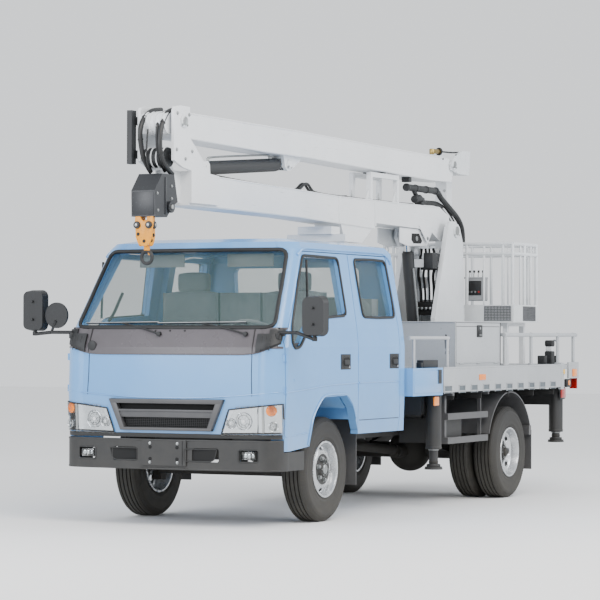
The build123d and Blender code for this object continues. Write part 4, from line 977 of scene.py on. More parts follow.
def wheelDisc(name, x, y, s, depth, body):
    # pressed disc with eight oval holes; depth(r) is how far the disc stands out of y
    verts, faces = [], []
    holes = wheelSet["holes"]
    r0, r1 = 116, 186
    for k in range(holes):
        middle = 2 * pi * k / holes
        half = pi / holes
        outline = [(r0 + (r1 - r0) * t / 6, -half)
            for t in range(6)] + [(r1, -half + 2 * half * t / 10) for t in range(10)]
        outline += [(r1 - (r1 - r0) * t / 6, half)
            for t in range(6)] + [(r0, half - 2 * half * t / 10) for t in range(10)]
        base = len(verts)
        loops = 5
        for n, (r, a) in enumerate(outline):
            place = Vector((r - 153, a * 153))
            angle = atan2(place.y / 27, place.x / 15)
            hole = Vector((15 * cos(angle), 27 * sin(angle)))
            for j in range(loops):
                t = (j / (loops - 1)) ** 1.5
                spot = hole.lerp(place, t)
                radius, turn = 153 + spot.x, middle + spot.y / 153
                lift = depth(radius) - (5 if j == 0 else 1 if j == 1 else 0)
                verts.append(at(x + radius * cos(turn), y + s * lift, wheelZ + radius * sin(turn)))
        count = len(outline)
        for n in range(count):
            m = (n + 1) % count
            for j in range(loops - 1):
                faces.append((base + n * loops + j, base + m * loops + j, base + m * loops + j + 1,
                    base + n * loops + j + 1))
    disc = meshPiece(name, verts, [], faces)
    freshMode()
    editMode(disc)
    closedUp(0.0004)
    wall = disc.modifiers.new("wall", "SOLIDIFY")
    wall.thickness = 0.007
    wall.offset = 0
    return settle(disc, name, rimPaint, body, 50)


def wheelTrim(place, side):
    s = 1 if side == "left" else -1
    body = f"{place}_wheel_{side}"
    x = 0 if place == "front" else rearAxleX
    middles = (wheelSet["front"],) if place == "front" else wheelSet["rear"]
    made = []
    for i, y in enumerate(middles):
        piece = tyrePiece(f"{place}_tyre_{side}_{i}", x, s * y, body)
        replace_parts(piece, f"tyre_{place}_{side}")
        # rim barrel with its two lips
        lip = [(206, -82), (211, -90), (209, -95), (203, -94), (199, -86), (196, -70), (186, -40), (184, 0),
            (186, 40), (196, 66), (199, 84), (203, 93), (209, 94), (211, 89), (206, 81)]
        inner = [(r - 7 if 2 < n < 12 else r, w) for n, (r, w) in enumerate(lip)]
        made.append(spunPiece(f"{place}_{side}_barrel_{i}",
            [(r, s * (y + w)) for r, w in lip] + [(r, s * (y + w))
            for r, w in inner[::-1][1:-1]] + [(206, s * (y - 82))], x, rimPaint, body, 72, 40))
    outer = middles[-1]
    if place == "front":
        depth = lambda r: 62 - 30 * max(0.0, (r - 120) / 66) ** 1.6
        hubFace, nose = outer + 64, outer + 96
    else:
        depth = lambda r: 2 + 34 * max(0.0, (r - 120) / 66) ** 1.2
        hubFace, nose = outer + 4, outer + 68
    made.append(wheelDisc(f"{place}_{side}_disc", x, s * outer, s, depth, body))
    if place == "rear":
        made.append(wheelDisc("inner_disc", x, s * middles[0], s, lambda r: 60 - 20 * max(0.0, (r - 120) / 66), body))
    rim = joined(made, f"{place}_rim_{side}")
    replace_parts(rim, f"rim_{place}_{side}")
    # centre plate, its bright ring, stepped hub and domed cap
    section = [(0, -14), (121, -14), (121, 0), (112, 3), (104, 1), (66, 0), (60, 6), (56, (nose - hubFace) * 0.55),
        (50, (nose - hubFace) * 0.7), (0, (nose - hubFace) * 0.72)]
    spunPiece(f"hub_plate_{place}_{side}",
        [(max(r, 0.4), s * (hubFace + w)) for r, w in section], x, blackPaint, body, 72)
    section = [(113, -4), (124, -4), (126, 1), (122, 5), (115, 4), (113, -4)]
    spunPiece(f"hub_ring_{place}_{side}", [(r, s * (hubFace + w)) for r, w in section], x, rimPaint, body, 72)
    top = nose - hubFace
    section = [(36, top * 0.6), (36, top * 0.82), (32, top * 0.92), (24, top * 0.98), (0.4, top)]
    spunPiece(f"hub_cap_{place}_{side}", [(r, s * (hubFace + w)) for r, w in section], x,
        steel if place == "front" else castIron, body, 48)
    made = []
    for k in range(wheelSet["nuts"]):
        angle = 2 * pi * k / wheelSet["nuts"] + 0.26
        cx, cz = x + wheelSet["nutCircle"] * cos(angle), wheelZ + wheelSet["nutCircle"] * sin(angle)
        made.append(roundPiece("washer", (cx, s * hubFace, cz), (cx, s * (hubFace + 6), cz), 18, steel, body, 1, 24))
        made.append(roundPiece("nut", (cx, s * (hubFace + 4), cz),
            (cx, s * (hubFace + 22), cz), 15, steel, body, 3, 6))
        made.append(roundPiece("stud", (cx, s * (hubFace + 20), cz),
            (cx, s * (hubFace + 27), cz), 8, steel, body, 2, 16))
    joined(made, f"wheel_nuts_{place}_{side}")
    for k in range(6):
        angle = 2 * pi * k / 6
        cx, cz = x + 48 * cos(angle), wheelZ + 48 * sin(angle)
        roundPiece(f"hub_bolt_{place}_{side}_{k}", (cx, s * (hubFace + top * 0.6), cz),
            (cx, s * (hubFace + top * 0.6 + 8), cz), 6, steel, body, 1, 6)
    tubePiece(f"valve_{place}_{side}", [(x + 166, s * (outer + 30), 452), (x + 170, s * (outer + 58), 454),
        (x + 172, s * (outer + 80), 455)], 4, blackPlastic, body)


for side in sides:
    for place in ("front", "rear"):
        wheelTrim(place, side)
print("wheels done")


# ---- booms: pins, weld seams, hoses, pipes
def pinCap(name, x, z, y, radius, body, finish=None):
    # keeper plate and bolt over a pin's end, on the side given by the sign of y
    s = 1 if y > 0 else -1
    finish = finish or turretPaint
    roundPiece(f"{name}_boss", (x, y - s * 6, z), (x, y + s * 10, z), radius * 1.55, finish, body, 4, 48)
    roundPiece(f"{name}_end", (x, y + s * 4, z), (x, y + s * 18, z), radius, steel, body, 3, 40,
        lip=(0.72, 2) if s > 0 else None)
    boltRow(f"{name}_keeper", [(x - radius * 1.1, y + s * 9, z - radius * 0.9),
        (x + radius * 1.1, y + s * 9, z - radius * 0.9)], (0, s, 0), 8, steel, body, 6)


for s, side in bothSides:
    pinCap(f"elbow_pin_{side}", 1023, 2910, s * 150, 32, "lower_arm")
    pinCap(f"heel_pin_{side}", -3873, 2304, s * 215, 40, "turret_body")
    pinCap(f"tip_pin_{side}", -3990, 2900, s * 143, 30, "basket_body")
    pinCap(f"ram_ear_pin_{side}", -839, 2714, s * 67, 24, "upper_arm", whitePaint)
    pinCap(f"lift_base_pin_{side}", -3450, 1350, s * 215, 28, "turret_body")
    # second, smaller bolts on the elbow plates
    boltRow(f"elbow_bolts_{side}", [(946, s * 150, 2960), (1120, s * 150, 2960), (1130, s * 150, 2700),
        (1000, s * 150, 2640), (900, s * 150, 2700)], (0, s, 0), 11, steel, "lower_arm", 8)
    # weld bead where the flanges meet the web
    tubePiece(f"lower_boom_bead_low_{side}", [(880, s * 125, 2322), (-910, s * 125, 2308), (-2320, s * 125, 2270)], 4,
        whitePaint, "lower_arm", smooth=False, sides=1)
    tubePiece(f"lower_boom_bead_top_{side}", [(480, s * 125, 2538), (-1644, s * 125, 2498), (-3700, s * 125, 2503)],
        4, whitePaint, "lower_arm", smooth=False, sides=1)
    tubePiece(f"upper_boom_bead_low_{side}",
        [(870, s * 115, 2799), (-320, s * 115, 2783), (-1107, s * 115, 2786), (-3509, s * 115, 2744)], 4, whitePaint,
        "upper_arm", smooth=False, sides=1)
    tubePiece(f"upper_boom_bead_top_{side}", [(1050, s * 115, 2975), (-926, s * 115, 2973), (-3880, s * 115, 2946)],
        4, whitePaint, "upper_arm", smooth=False, sides=1)
# joint collars on the lower boom's web, seen as the lines across it
for x in (-1660, -2360):
    outlinePiece(f"boom_strap_{abs(x)}", ((x, 2290), (x + 26, 2290), (x + 26, 2500), (x, 2500)),
        (124, 131), whitePaint, "lower_arm")

# steel pipes and hoses along the lower boom's top, with a service loop
for i, y in enumerate((-70, -40)):
    tubePiece(f"boom_pipe_{i}", [(560, y, 2600), (300, y, 2566), (-1150, y, 2532), (-1220, y, 2532)],
        9, hoseRubber, "lower_arm")
    tubePiece(f"boom_loop_{i}", [(-1200, y, 2532), (-1260, y, 2545), (-1330, y, 2590), (-1400, y, 2596),
        (-1450, y, 2560), (-1520, y, 2524), (-2250, y, 2520), (-3300, y, 2522), (-3500, y, 2526)],
        11, hoseRubber, "lower_arm")
for x in (200, -600, -1180, -1560, -2100):
    blockPiece(f"pipe_clip_{abs(x)}", (x - 12, -92, 2500), (x + 12, -20, 2546 if x > -1000 else 2536),
        blackPlastic, "lower_arm", 4)
# thick hoses over the elbow, a thin strap between the drums and bosses on the cheeks
hoses = {
    "near": (18, ((1040, 84, 2990), (1120, 84, 2985), (1189, 84, 2930), (1247, 84, 2844), (1263, 84, 2712),
        (1221, 84, 2625), (1150, 84, 2560), (1060, 76, 2529))),
    "far": (18, ((960, -72, 3003), (1064, -72, 2996), (1164, -72, 2960), (1240, -72, 2898), (1272, -72, 2820),
        (1250, -72, 2720), (1215, -72, 2620), (1120, -66, 2545))),
    "inner": (11, ((1010, 40, 2985), (1120, 44, 2978), (1200, 46, 2925), (1236, 46, 2830), (1228, 46, 2700),
        (1190, 46, 2610), (1110, 44, 2545))),
}
for name, (r, points) in hoses.items():
    tubePiece(f"elbow_hose_{name}", points, r, hoseRubber, "lower_arm")
    for k in (2, 4):
        a, b = Vector(points[k]), Vector(points[k + 1])
        roundPiece(f"hose_clip_{name}_{k}", a.lerp(b, 0.46), a.lerp(b, 0.56), r + 3, blackPlastic, "lower_arm", 1, 24)
tubePiece("elbow_strap", [(1236, -26, 2842), (1250, -26, 2764), (1254, -26, 2674), (1246, -26, 2593),
    (1200, -26, 2540)], 6, hoseRubber, "lower_arm")
for i, (x, z, r) in enumerate(((1148, 2888, 80), (1130, 2645, 73))):
    for k, y in enumerate((-62, -62 * 0.35, 70 * 0.3, 70)):
        ring = [Vector((x + r * cos(t * pi / 24), y, z + r * sin(t * pi / 24))) for t in range(48)]
        tubePiece(f"drum_rim_{i}_{k}", ring, 5, whitePaint, "lower_arm", **ringKind, sides=2)
    roundPiece(f"drum_boss_{i}", (x, -112, z), (x, -66, z), 34, whitePaint, "lower_arm", 5, 40)
    roundPiece(f"drum_nut_{i}", (x, -124, z), (x, -108, z), 19, steel, "lower_arm", 3, 6)
# fold ram: gland nut, hose ports and the feed hose
roundPiece("fold_gland", (-706, 0, 2703), (-740, 0, 2706), 50, blackPaint, "fold_barrel", 4, 40)
for x in (380, -640):
    roundPiece(f"fold_port_{abs(x)}", (x, 0, 2605 + (510 - x) * 0.081 + 40), (x, 0, 2605 + (510 - x) * 0.081 + 72),
        16, steel, "fold_barrel", 3, 6)
tubePiece("fold_feed_pipe", [(380, 0, 2690), (340, 6, 2700), (-560, 6, 2772), (-625, 0, 2772), (-640, 0, 2765)], 8,
    steel, "fold_barrel")
# hose manifold on the lower boom, with its elbow and couplings
roundPiece("manifold_tube", (-3120, 60, 2656), (-3790, 60, 2656), 29, blackPaint, "lower_arm", 5, 40)
for x in (-3140, -3330, -3560, -3770):
    roundPiece(f"manifold_collar_{abs(x)}", (x + 14, 60, 2656), (x - 14, 60, 2656), 34,
        blackPaint, "lower_arm", 3, 40)
tubePiece("manifold_elbow", [(-3780, 60, 2656), (-3824, 60, 2648), (-3858, 60, 2622), (-3890, 60, 2600),
    (-3957, 62, 2572), (-4098, 66, 2508), (-4228, 70, 2450), (-4325, 72, 2382), (-4372, 72, 2297), (-4374, 70, 2190)],
    25, hoseRubber, "turret_body")
tubePiece("heel_hose_low", [(-3540, 20, 2546), (-3700, 20, 2548), (-3900, 22, 2552), (-4080, 26, 2500),
    (-4200, 30, 2430), (-4300, 32, 2340), (-4330, 32, 2180)], 22, hoseRubber, "turret_body")
tubePiece("heel_wire", [(-3821, 116, 2502), (-3930, 116, 2452), (-4040, 118, 2383), (-4120, 118, 2325),
    (-4160, 116, 2262)], 6, whitePaint, "turret_body")
tubePiece("manifold_drop", [(-3290, 60, 2640), (-3330, 60, 2600), (-3380, 60, 2580)], 20, blackPaint, "lower_arm")
roundPiece("manifold_valve", (-3300, 60, 2560), (-3420, 60, 2574), 34, blackPlastic, "lower_arm", 8, 40)
roundPiece("manifold_nut", (-3420, 60, 2570), (-3500, 50, 2562), 30, blackPaint, "lower_arm", 5, 6)
tubePiece("manifold_hose", [(-3490, 50, 2560), (-3540, 36, 2550), (-3600, 26, 2546)], 22, hoseRubber, "lower_arm")
blockPiece("manifold_bracket", (-3170, 24, 2700), (-3110, 96, 2790), blackPaint, "lower_arm", 4)
blockPiece("manifold_foot", (-3460, 20, 2515), (-3400, 90, 2545), blackPaint, "lower_arm", 4)
# plates under the lower boom's heel: gusset with its bolt, ram plates with a square hole drawn as a black plate for
# painted shade, and a boss
for s, side in bothSides:
    outlinePiece(f"heel_gusset_{side}", ((-3250, 2330), (-3583, 2330), (-3460, 2200), (-3433, 2186), (-3406, 2200)),
        (s * 124, s * 131), whitePaint, "lower_arm")
    boltRow(f"heel_gusset_bolt_{side}", [(-3433, s * 131, 2223)], (0, s, 0), 13, steel, "lower_arm", 8)
    outlinePiece(f"ram_plate_{side}", ((-2894, 2300), (-2895, 2172), (-3047, 2148), (-3478, 2160), (-3531, 2217),
        (-3560, 2300)), (s * 98, s * 108), whitePaint, "lower_arm")
    outlinePiece(f"ram_plate_hole_shade_{side}",
        ((-3140, 2258), (-3300, 2262), (-3366, 2200), (-3340, 2176), (-3180, 2172), (-3136, 2200)),
        (s * 107, s * 110), holeShadeBlack, "lower_arm", edge=0)
    roundPiece(f"ram_plate_boss_{side}", (-3243, s * 104, 2216), (-3243, s * 116, 2216), 24, steel, "lower_arm", 3, 6)
    roundPiece(f"heel_boss_{side}", (-3751, s * 84, 2119), (-3751, s * 122, 2119), 34, whitePaint, "turret_body", 5,
        40, lip=(0.6, 4) if s > 0 else None)
    roundPiece(f"heel_boss_pin_{side}", (-3751, s * 100, 2119), (-3751, s * 126, 2119), 16,
        castIron, "turret_body", 3, 32)
# saddle frame gets gussets and a rubber roller
for s in (1, -1):
    for x in (-2330, -2872):
        outlinePiece(f"saddle_gusset_{abs(x)}_{s + 1}", ((x + 20, 2508), (x + 80, 2508), (x + 20, 2600)),
            (s * 76, s * 84), whitePaint, "lower_arm", edge=1)
roundPiece("saddle_roller", (-2600, -98, 2738), (-2600, 98, 2738), 20, blackPlastic, "lower_arm", 4)

# ---- winch box and hook block
boltRow("winch_bolts", [(1100, 95, 2350), (1100, 95, 2440), (1300, 95, 2260), (1310, 95, 2380)], (0, 1, 0),
    9, steel, "lower_arm", 6)
roundPiece("winch_boss", (1130, 92, 2290), (1130, 118, 2290), 42, slatePaint, "lower_arm", 6, 48, lip=(0.6, 5))
roundPiece("winch_boss_pin", (1130, 100, 2290), (1130, 124, 2290), 18, steel, "lower_arm", 3, 32)
outlinePiece("winch_front_frame", ((-88, 2225), (88, 2225), (88, 2390), (-88, 2390)), (1345, 1351), slatePaint,
    "lower_arm", plane="yz", edge=3)
outlinePiece("winch_side_rib", ((1180, 2235), (1200, 2235), (1200, 2500), (1180, 2500)),
    (94, 101), slatePaint, "lower_arm")
hookX = 1304
for s in (1, -1):
    outline = [(1346, 2216), (1350, 2180), (1358, 2155), (1350, 2128), (1352, 2080), (1342, 2040), (1322, 2012),
        (1304, 2004), (1286, 2012), (1266, 2040), (1256, 2080), (1258, 2128), (1250, 2155),
        (1258, 2180), (1262, 2216)]
    outlinePiece(f"hook_cheek_{s + 1}", outline, (s * 34, s * 50), yellowPaint, "hook", edge=4)
    roundPiece(f"hook_pin_{s + 1}", (hookX, s * 30, 2155), (hookX, s * 74, 2155), 27, blackPaint, "hook", 4, 40)
    roundPiece(f"hook_pin_end_{s + 1}", (hookX, s * 70, 2155), (hookX, s * 84, 2155), 15, steel, "hook", 3, 6)
    boltRow(f"hook_cheek_bolt_{s + 1}", [(hookX - 20, s * 50, 2084), (hookX + 12, s * 50, 2046)],
        (0, s, 0), 11, castIron, "hook", 7)
for i, y in enumerate((-44, 52)):
    roundPiece(f"hook_lug_{i}", (hookX + 44, y, 2155), (hookX + 62, y, 2155), 26, blackPaint, "hook", 4, 40)
    roundPiece(f"hook_lug_end_{i}", (hookX + 58, y, 2155), (hookX + 70, y, 2155), 12, steel, "hook", 3, 24)
outlinePiece("hook_face", [(-62, 2216), (-66, 2175), (-60, 2120), (-58, 2070), (-42, 2030), (-10, 2006), (30, 2004),
    (58, 2026), (74, 2070), (76, 2120), (84, 2175), (80, 2216), (54, 2216), (48, 2196), (26, 2180), (6, 2182),
    (-12, 2196), (-20, 2216)], (hookX + 34, hookX + 48), yellowPaint, "hook", plane="yz", edge=4)
boltRow("hook_face_bolts", [(hookX + 48, -36, 2090), (hookX + 48, 12, 2040)], (1, 0, 0), 10, castIron, "hook", 6)
hookBody = outlinePiece("hook_body",
    ((1336, 2190), (1340, 2060), (1318, 2016), (1290, 2016), (1268, 2060), (1272, 2190)), (-36, 36),
    yellowPaint, "hook", edge=6)
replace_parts(hookBody, "hook_block")
roundPiece("hook_sheave", (hookX, -32, 2120), (hookX, 32, 2120), 30, blackPaint, "hook", 6, 48)
roundPiece("hook_swivel", (hookX, 8, 2012), (hookX, 8, 1975), 22, yellowPaint, "hook", 5, 32)
ring = [Vector((hookX, 8 + 42 * cos(t * pi / 20), 1926 + 44 * sin(t * pi / 20))) for t in range(40)]
tubePiece("hook_ring", ring, 13, blackPaint, "hook", **ringKind)
roundPiece("hook_latch", (hookX, 14, 1988), (hookX, 34, 1944), 11, yellowPaint, "hook", 3, 20)
print("booms done")

# ---- turret: ring bolts, valves and hoses between the plates
bolts = [(-3735 + 372 * cos(2 * pi * k / 24), 372 * sin(2 * pi * k / 24), 1265) for k in range(24)]
boltRow("slew_bolts", bolts, (0, 0, 1), 12, steel, "turret_body", 12)
for s, side in bothSides:
    outlinePiece(f"turret_rib_{side}", ((-3420, 1268), (-3440, 1268), (-3440, 1520), (-3420, 1520)),
        (s * 214, s * 222), turretPaint, "turret_body")
    outlinePiece(f"turret_edge_{side}", ((-3396, 1300), (-3396, 1531), (-3690, 2330), (-3706, 2330), (-3412, 1531),
        (-3412, 1300)), (s * 178, s * 222), turretPaint, "turret_body", edge=3)
blockPiece("valve_bank", (-3980, -150, 1560), (-3860, 60, 1680), castIron, "turret_body", 6)
for k in range(5):
    roundPiece(f"valve_spool_{k}", (-3860, -130 + k * 40, 1620), (-3820, -130 + k * 40, 1620), 13,
        steel, "turret_body", 2, 16)
    tubePiece(f"valve_hose_{k}", [(-3900, -130 + k * 40, 1680), (-3900, -130 + k * 42, 1780),
        (-3866 + k * 24, -150 + k * 58, 1930), (-3850, -124 + k * 50 + (k % 2) * 22, 2030),
        (-3830 - k * 16, -96 + k * 30, 2150)], 13 - k % 3 * 2, hoseRubber, "turret_body")
blockPiece("relay_box_orange", (-3960, 96, 1760), (-3870, 158, 1880), orangeLens, "turret_body", 6)
blockPiece("relay_box_gray", (-3960, -170, 1800), (-3890, -90, 1900), whitePaint, "turret_body", 6)
blockPiece("hose_clamp_block", (-3620, 98, 2030), (-3560, 178, 2096), blackPaint, "turret_body", 5)
blockPiece("slip_joint_box", (-3960, -80, 1960), (-3760, 80, 2060), blackPaint, "turret_body", 8)
blockPiece("relay_box_dark", (-3560, 88, 1960), (-3440, 178, 2100), blackPlastic, "turret_body", 8)
for i, (x, y, z) in enumerate(((-3700, 150, 1700), (-3700, 150, 1850), (-3640, 150, 1640))):
    roundPiece(f"turret_coupling_{i}", (x, y - 60, z), (x, y, z), 17, steel, "turret_body", 3, 6)
    tubePiece(f"turret_feed_{i}", [(x, y, z), (x - 8, y + 14, z - 60), (x + 20, y - 20, z - 180),
        (x + 40, y - 50, 1420)], 10, hoseRubber, "turret_body")
roundPiece("slew_motor", (-3620, -110, 1290), (-3620, -110, 1480), 62, castIron, "turret_body", 8)
roundPiece("slew_motor_cap", (-3620, -110, 1480), (-3620, -110, 1500), 46, steel, "turret_body", 4)
tubePiece("lift_feed_pipe", [(-3400, 62, 1440), (-3385, 66, 1500), (-3300, 64, 1900), (-3295, 58, 1960)], 8, steel,
    "lift_barrel")
print("turret done")

# ---- basket: perforated panels, bars, control box, floor plate, mast fittings, tip valve
webFaces = ((0, 1, 2, 3), (7, 6, 5, 4), (0, 4, 5, 1), (1, 5, 6, 2), (2, 6, 7, 3), (3, 7, 4, 0))


def perforated(name, corner, size, hole, pitch, wall, axis, body, finish):
    # thin sheet with rows of square-cut holes; axis is the sheet's normal
    freshMode()
    columns, rows = int(size[0] / pitch), int(size[1] / pitch)
    verts, faces = [], []
    web = pitch - hole
    for i in range(columns + 1):
        u = i * pitch
        verts.append((u, 0, u + web, size[1]))
    for j in range(rows + 1):
        v = j * pitch
        verts.append((0, v, size[0], v + web))
    points, quads = [], []
    for u0, v0, u1, v1 in verts:
        base = len(points)
        for w in (0, wall):
            for u, v in ((u0, v0), (u1, v0), (u1, v1), (u0, v1)):
                points.append(at(corner[0] + (u if axis == "y" else w),
                    corner[1] + (w if axis == "y" else u), corner[2] + v))
        quads += [[base + n for n in quad] for quad in webFaces]
    return settle(meshPiece(name, points, [], quads), name, finish, body)


for s, side in bothSides:
    perforated(f"basket_mesh_{side}", (-4722, s * 641 - 1.5, 1512), (312, 128), 9, 14, 3, "y",
        "basket_body", guardPaint)
    for x in (-4385, -4480, -4640):
        roundPiece(f"basket_bar_{side}_{abs(x)}", (x, s * 623, 1650), (x, s * 623, 2196), 10,
            turretPaint, "basket_body", 1, 24)
    outlinePiece(f"basket_corner_{side}", ((-4190, 1655), (-4190, 1560), (-4250, 1655)), (s * 636, s * 643),
        turretPaint, "basket_body", edge=1)
perforated("basket_mesh_rear", (-4803, -600, 1512), (1200, 128), 9, 14, 3, "x", "basket_body", guardPaint)
perforated("basket_mesh_front", (-4179, 361, 1512), (252, 128), 9, 14, 3, "x", "basket_body", guardPaint)
perforated("basket_mesh_front_right", (-4179, -613, 1512), (252, 128), 9, 14, 3, "x", "basket_body", guardPaint)
for y, r, finish in ((186, 15, turretPaint), (351, 9, whitePaint), (534, 14, turretPaint), (-186, 15, turretPaint),
        (-534, 14, turretPaint)):
    roundPiece(f"basket_front_bar_{'a' if y > 0 else 'b'}{abs(y)}", (-4197, y, 1650), (-4197, y, 2196), r,
        finish, "basket_body", 1, 24)
    roundPiece(f"basket_rear_bar_{'a' if y > 0 else 'b'}{abs(y)}", (-4783, y, 1650), (-4783, y, 2196), r,
        finish, "basket_body", 1, 24)
# stays from the top ring in to the mid ring
for s in (1, -1):
    for x in (-4240, -4740):
        tubePiece(f"basket_stay_{s + 1}_{abs(x)}", [(x, s * 620, 2198), (x, s * 600, 2160), (x, s * 622, 2112)], 8,
            turretPaint, "basket_body", smooth=False, sides=2)
controlFace = makeFinish("pale grey powder coat", "#9c9ea1", "#929497", (0.4, 0.5), patchScale=5.0,
    grain={"size": 2.0, "depth": 0.12})
blockPiece("control_box", (-4330, 160, 1690), (-4212, 336, 1897), controlFace, "basket_body", 10, 3)
blockPiece("control_lid", (-4322, 154, 1888), (-4206, 342, 1904), controlFace, "basket_body", 4, 2)
blockPiece("control_plate", (-4214, 176, 1740), (-4207, 320, 1870), blackPlastic, "basket_body", 3)
for k in range(4):
    roundPiece(f"control_lever_{k}", (-4270, 180 + k * 42, 1890), (-4282, 180 + k * 42, 1950), 5,
        steel, "basket_body", 1, 12)
    roundPiece(f"control_knob_{k}", (-4280, 180 + k * 42, 1944), (-4286, 180 + k * 42, 1964), 10,
        blackPlastic, "basket_body", 4, 20)
    roundPiece(f"control_button_{k}", (-4212, 196 + k * 34, 1770), (-4198, 196 + k * 34, 1770), 9,
        redLens if k == 3 else steel, "basket_body", 2, 20)
blockPiece("basket_floor_plate", (-4790, -630, 1529), (-4190, 630, 1534), silverPaint, "basket_body", 1)
for x in (-4770, -4480, -4210):
    for s in (1, -1):
        roundPiece(f"basket_foot_weld_{abs(x)}_{s + 1}", (x, s * 623, 1640), (x, s * 623, 1660), 19,
            turretPaint, "basket_body", 3, 24)
for z in (1700, 1950, 2250, 2500):
    blockPiece(f"mast_band_{z}", (-4296, -112, z), (-4160, 2, z + 30), turretPaint, "basket_body", 3)
boltRow("mast_bolts", [(-4165, y, z) for y in (-90, -20) for z in (2300, 2420, 2560, 2680)], (1, 0, 0),
    10, steel, "basket_body", 8)
roundPiece("tip_valve_body", (-3690, 60, 2976), (-3690, 60, 3024), 25, brass, "upper_arm", 4, 6)
roundPiece("tip_valve_stem", (-3700, 60, 3004), (-3860, 60, 3010), 21, brass, "upper_arm", 4, 32)
tubePiece("tip_valve_ring", [Vector((-3850, 60 + 27 * cos(t * pi / 12), 3010 + 27 * sin(t * pi / 12)))
    for t in range(24)], 9, blackPlastic, "upper_arm", **ringKind)
roundPiece("tip_valve_cap", (-3850, 60, 3010), (-3890, 60, 3012), 22, blackPlastic, "upper_arm", 6, 32)
tubePiece("tip_pipe", [(-3880, 60, 3012), (-3980, 60, 3014), (-4140, 60, 3018), (-4300, 60, 3030)],
    8, hoseRubber, "upper_arm")
for s, side in bothSides:
    outlinePiece(f"tip_channel_rib_{side}", ((-4110, 2996), (-4146, 2996), (-4146, 2840), (-4110, 2840)),
        (s * 128, s * 134), whitePaint, "basket_body")
    # black plate in the channel's slot: painted shade
    outlinePiece(f"tip_channel_slot_shade_{side}", ((-4060, 2996), (-4120, 2996), (-4112, 2966), (-4072, 2966)),
        (s * 128, s * 136), holeShadeBlack, "basket_body", edge=0)
    boltRow(f"tip_bolt_{side}", [(-3809, s * 116, 2941)], (0, s, 0), 9, castIron, "upper_arm", 5)
    tubePiece(f"tip_channel_edge_{side}", [(-4377, s * 126, 3034), (-4377, s * 126, 2828)], 5, whitePaint,
        "basket_body", smooth=False, sides=1)
print("basket done")

# ---- deck: tread plate, pockets, markers, lamps, cabinet fittings, rails
for s, side in bothSides:
    pocketShades, frames = [], []
    for k in range(10):
        x = -1930 if k == 0 else -2222 - (k - 1) * 262
        half = 62 if k else 74
        if x - half < -4500:
            continue
        # grey slabs over the pocket openings: painted shade inside the pockets
        pocketShades.append(blockPiece("pocket_shade_slab", (x - half, s * 957, 914), (x + half, s * 961.5, 972),
            grayPlastic, "truck", 1))
        for a, b in ((x - half - 5, x - half), (x + half, x + half + 5)):
            frames.append(blockPiece("frame", (a, s * 957, 912), (b, s * 966, 978), silverPaint, "truck", 1))
        frames.append(blockPiece("frame", (x - half - 5, s * 957, 972), (x + half + 5, s * 966, 978),
            silverPaint, "truck", 1))
    joined(pocketShades, f"stake_pocket_shades_{side}")
    joined(frames, f"stake_pockets_{side}")
    blockPiece(f"side_marker_{side}", (-2726, s * 958, 1010), (-2590, s * 968, 1060), orangeLens, "truck", 5, 3)
    for k in range(4):
        blockPiece(f"side_marker_flute_{side}_{k}", (-2712 + k * 30, s * 966, 1014),
            (-2704 + k * 30, s * 970, 1056), orangeLens, "truck", 1)
    roundPiece(f"round_marker_{side}", (-4603, s * 930, 1058), (-4603, s * 958, 1058), 32,
        blackPlastic, "truck", 4, 40)
    roundPiece(f"round_marker_lens_{side}", (-4603, s * 954, 1058), (-4603, s * 966, 1058), 25,
        amberLens, "truck", 5, 40)
    tubePiece(f"board_top_roll_{side}", [(-1845, s * 956, 1118), (-4522, s * 956, 1118)], 8,
        silverPaint, "truck", smooth=False)
    tubePiece(f"board_low_roll_{side}", [(-1845, s * 956, 928), (-4522, s * 956, 928)], 7,
        silverPaint, "truck", smooth=False)
    # tail corner: post, lamps and reflector
    blockPiece(f"corner_post_{side}", (-4600, s * 930, 900), (-4530, s * 962, 1140), silverPaint, "truck", 4)
    blockPiece(f"corner_lamp_{side}", (-4800, s * 930, 918), (-4680, s * 958, 992), blackPlastic, "truck", 8)
    roundPiece(f"corner_lamp_lens_{side}", (-4740, s * 954, 958), (-4740, s * 963, 958), 24,
        orangeLens, "truck", 4, 40)
    blockPiece(f"corner_reflector_{side}", (-4655, s * 944, 824), (-4545, s * 960, 912), redLens, "truck", 5)
    blockPiece(f"corner_reflector_back_{side}", (-4665, s * 936, 812), (-4535, s * 950, 920),
        blackPlastic, "truck", 5)
    blockPiece(f"end_marker_{side}", (-4960, s * 946, 1012), (-4850, s * 957, 1080), orangeLens, "truck", 5)
    # flange along the inside of the board and a gusset at each cross member
    for x in (-2100, -2700, -3300, -3900, -4400):
        outlinePiece(f"board_gusset_{side}_{abs(x)}", ((x, 905), (x + 8, 905), (x + 8, 860), (x, 860)),
            (s * 700, s * 940), castIron, "truck", edge=1)
# ribs of the deck's tread plate
for k in range(22):
    x = -3290 - k * 78
    if abs(x + 3735) < 420:
        continue
    blockPiece(f"deck_rib_{k}", (x - 3, -925, 1121), (x + 3, 925, 1125), silverPaint, "truck", 1)

# cabinet door: folded lip, latch, hinge knuckles; cabinet lid seam
tubePiece("cabinet_door_seam", [(-3212, 901, 1128), (-3212, 901, 1487), (-2230, 901, 1487), (-2230, 901, 1128)], 3,
    seal, "cabinet_lid", smooth=False)
blockPiece("cabinet_latch_plate", (-2798, 898, 1366), (-2686, 907, 1466), blackPlastic, "cabinet_lid", 10, 3)
blockPiece("cabinet_latch_handle", (-2776, 904, 1374), (-2708, 913, 1420), blackPlastic, "cabinet_lid", 5, 3)
roundPiece("cabinet_latch_lock", (-2742, 902, 1440), (-2742, 911, 1440), 11, chrome, "cabinet_lid", 2, 28)
blockPiece("cabinet_latch_slot", (-2772, 905, 1380), (-2712, 914, 1388), steel, "cabinet_lid", 1)
for x in (-3100, -2720, -2340):
    roundPiece(f"cabinet_hinge_{abs(x)}", (x - 40, 900, 1152), (x + 40, 900, 1152), 8, silverPaint, "truck", 1, 20)
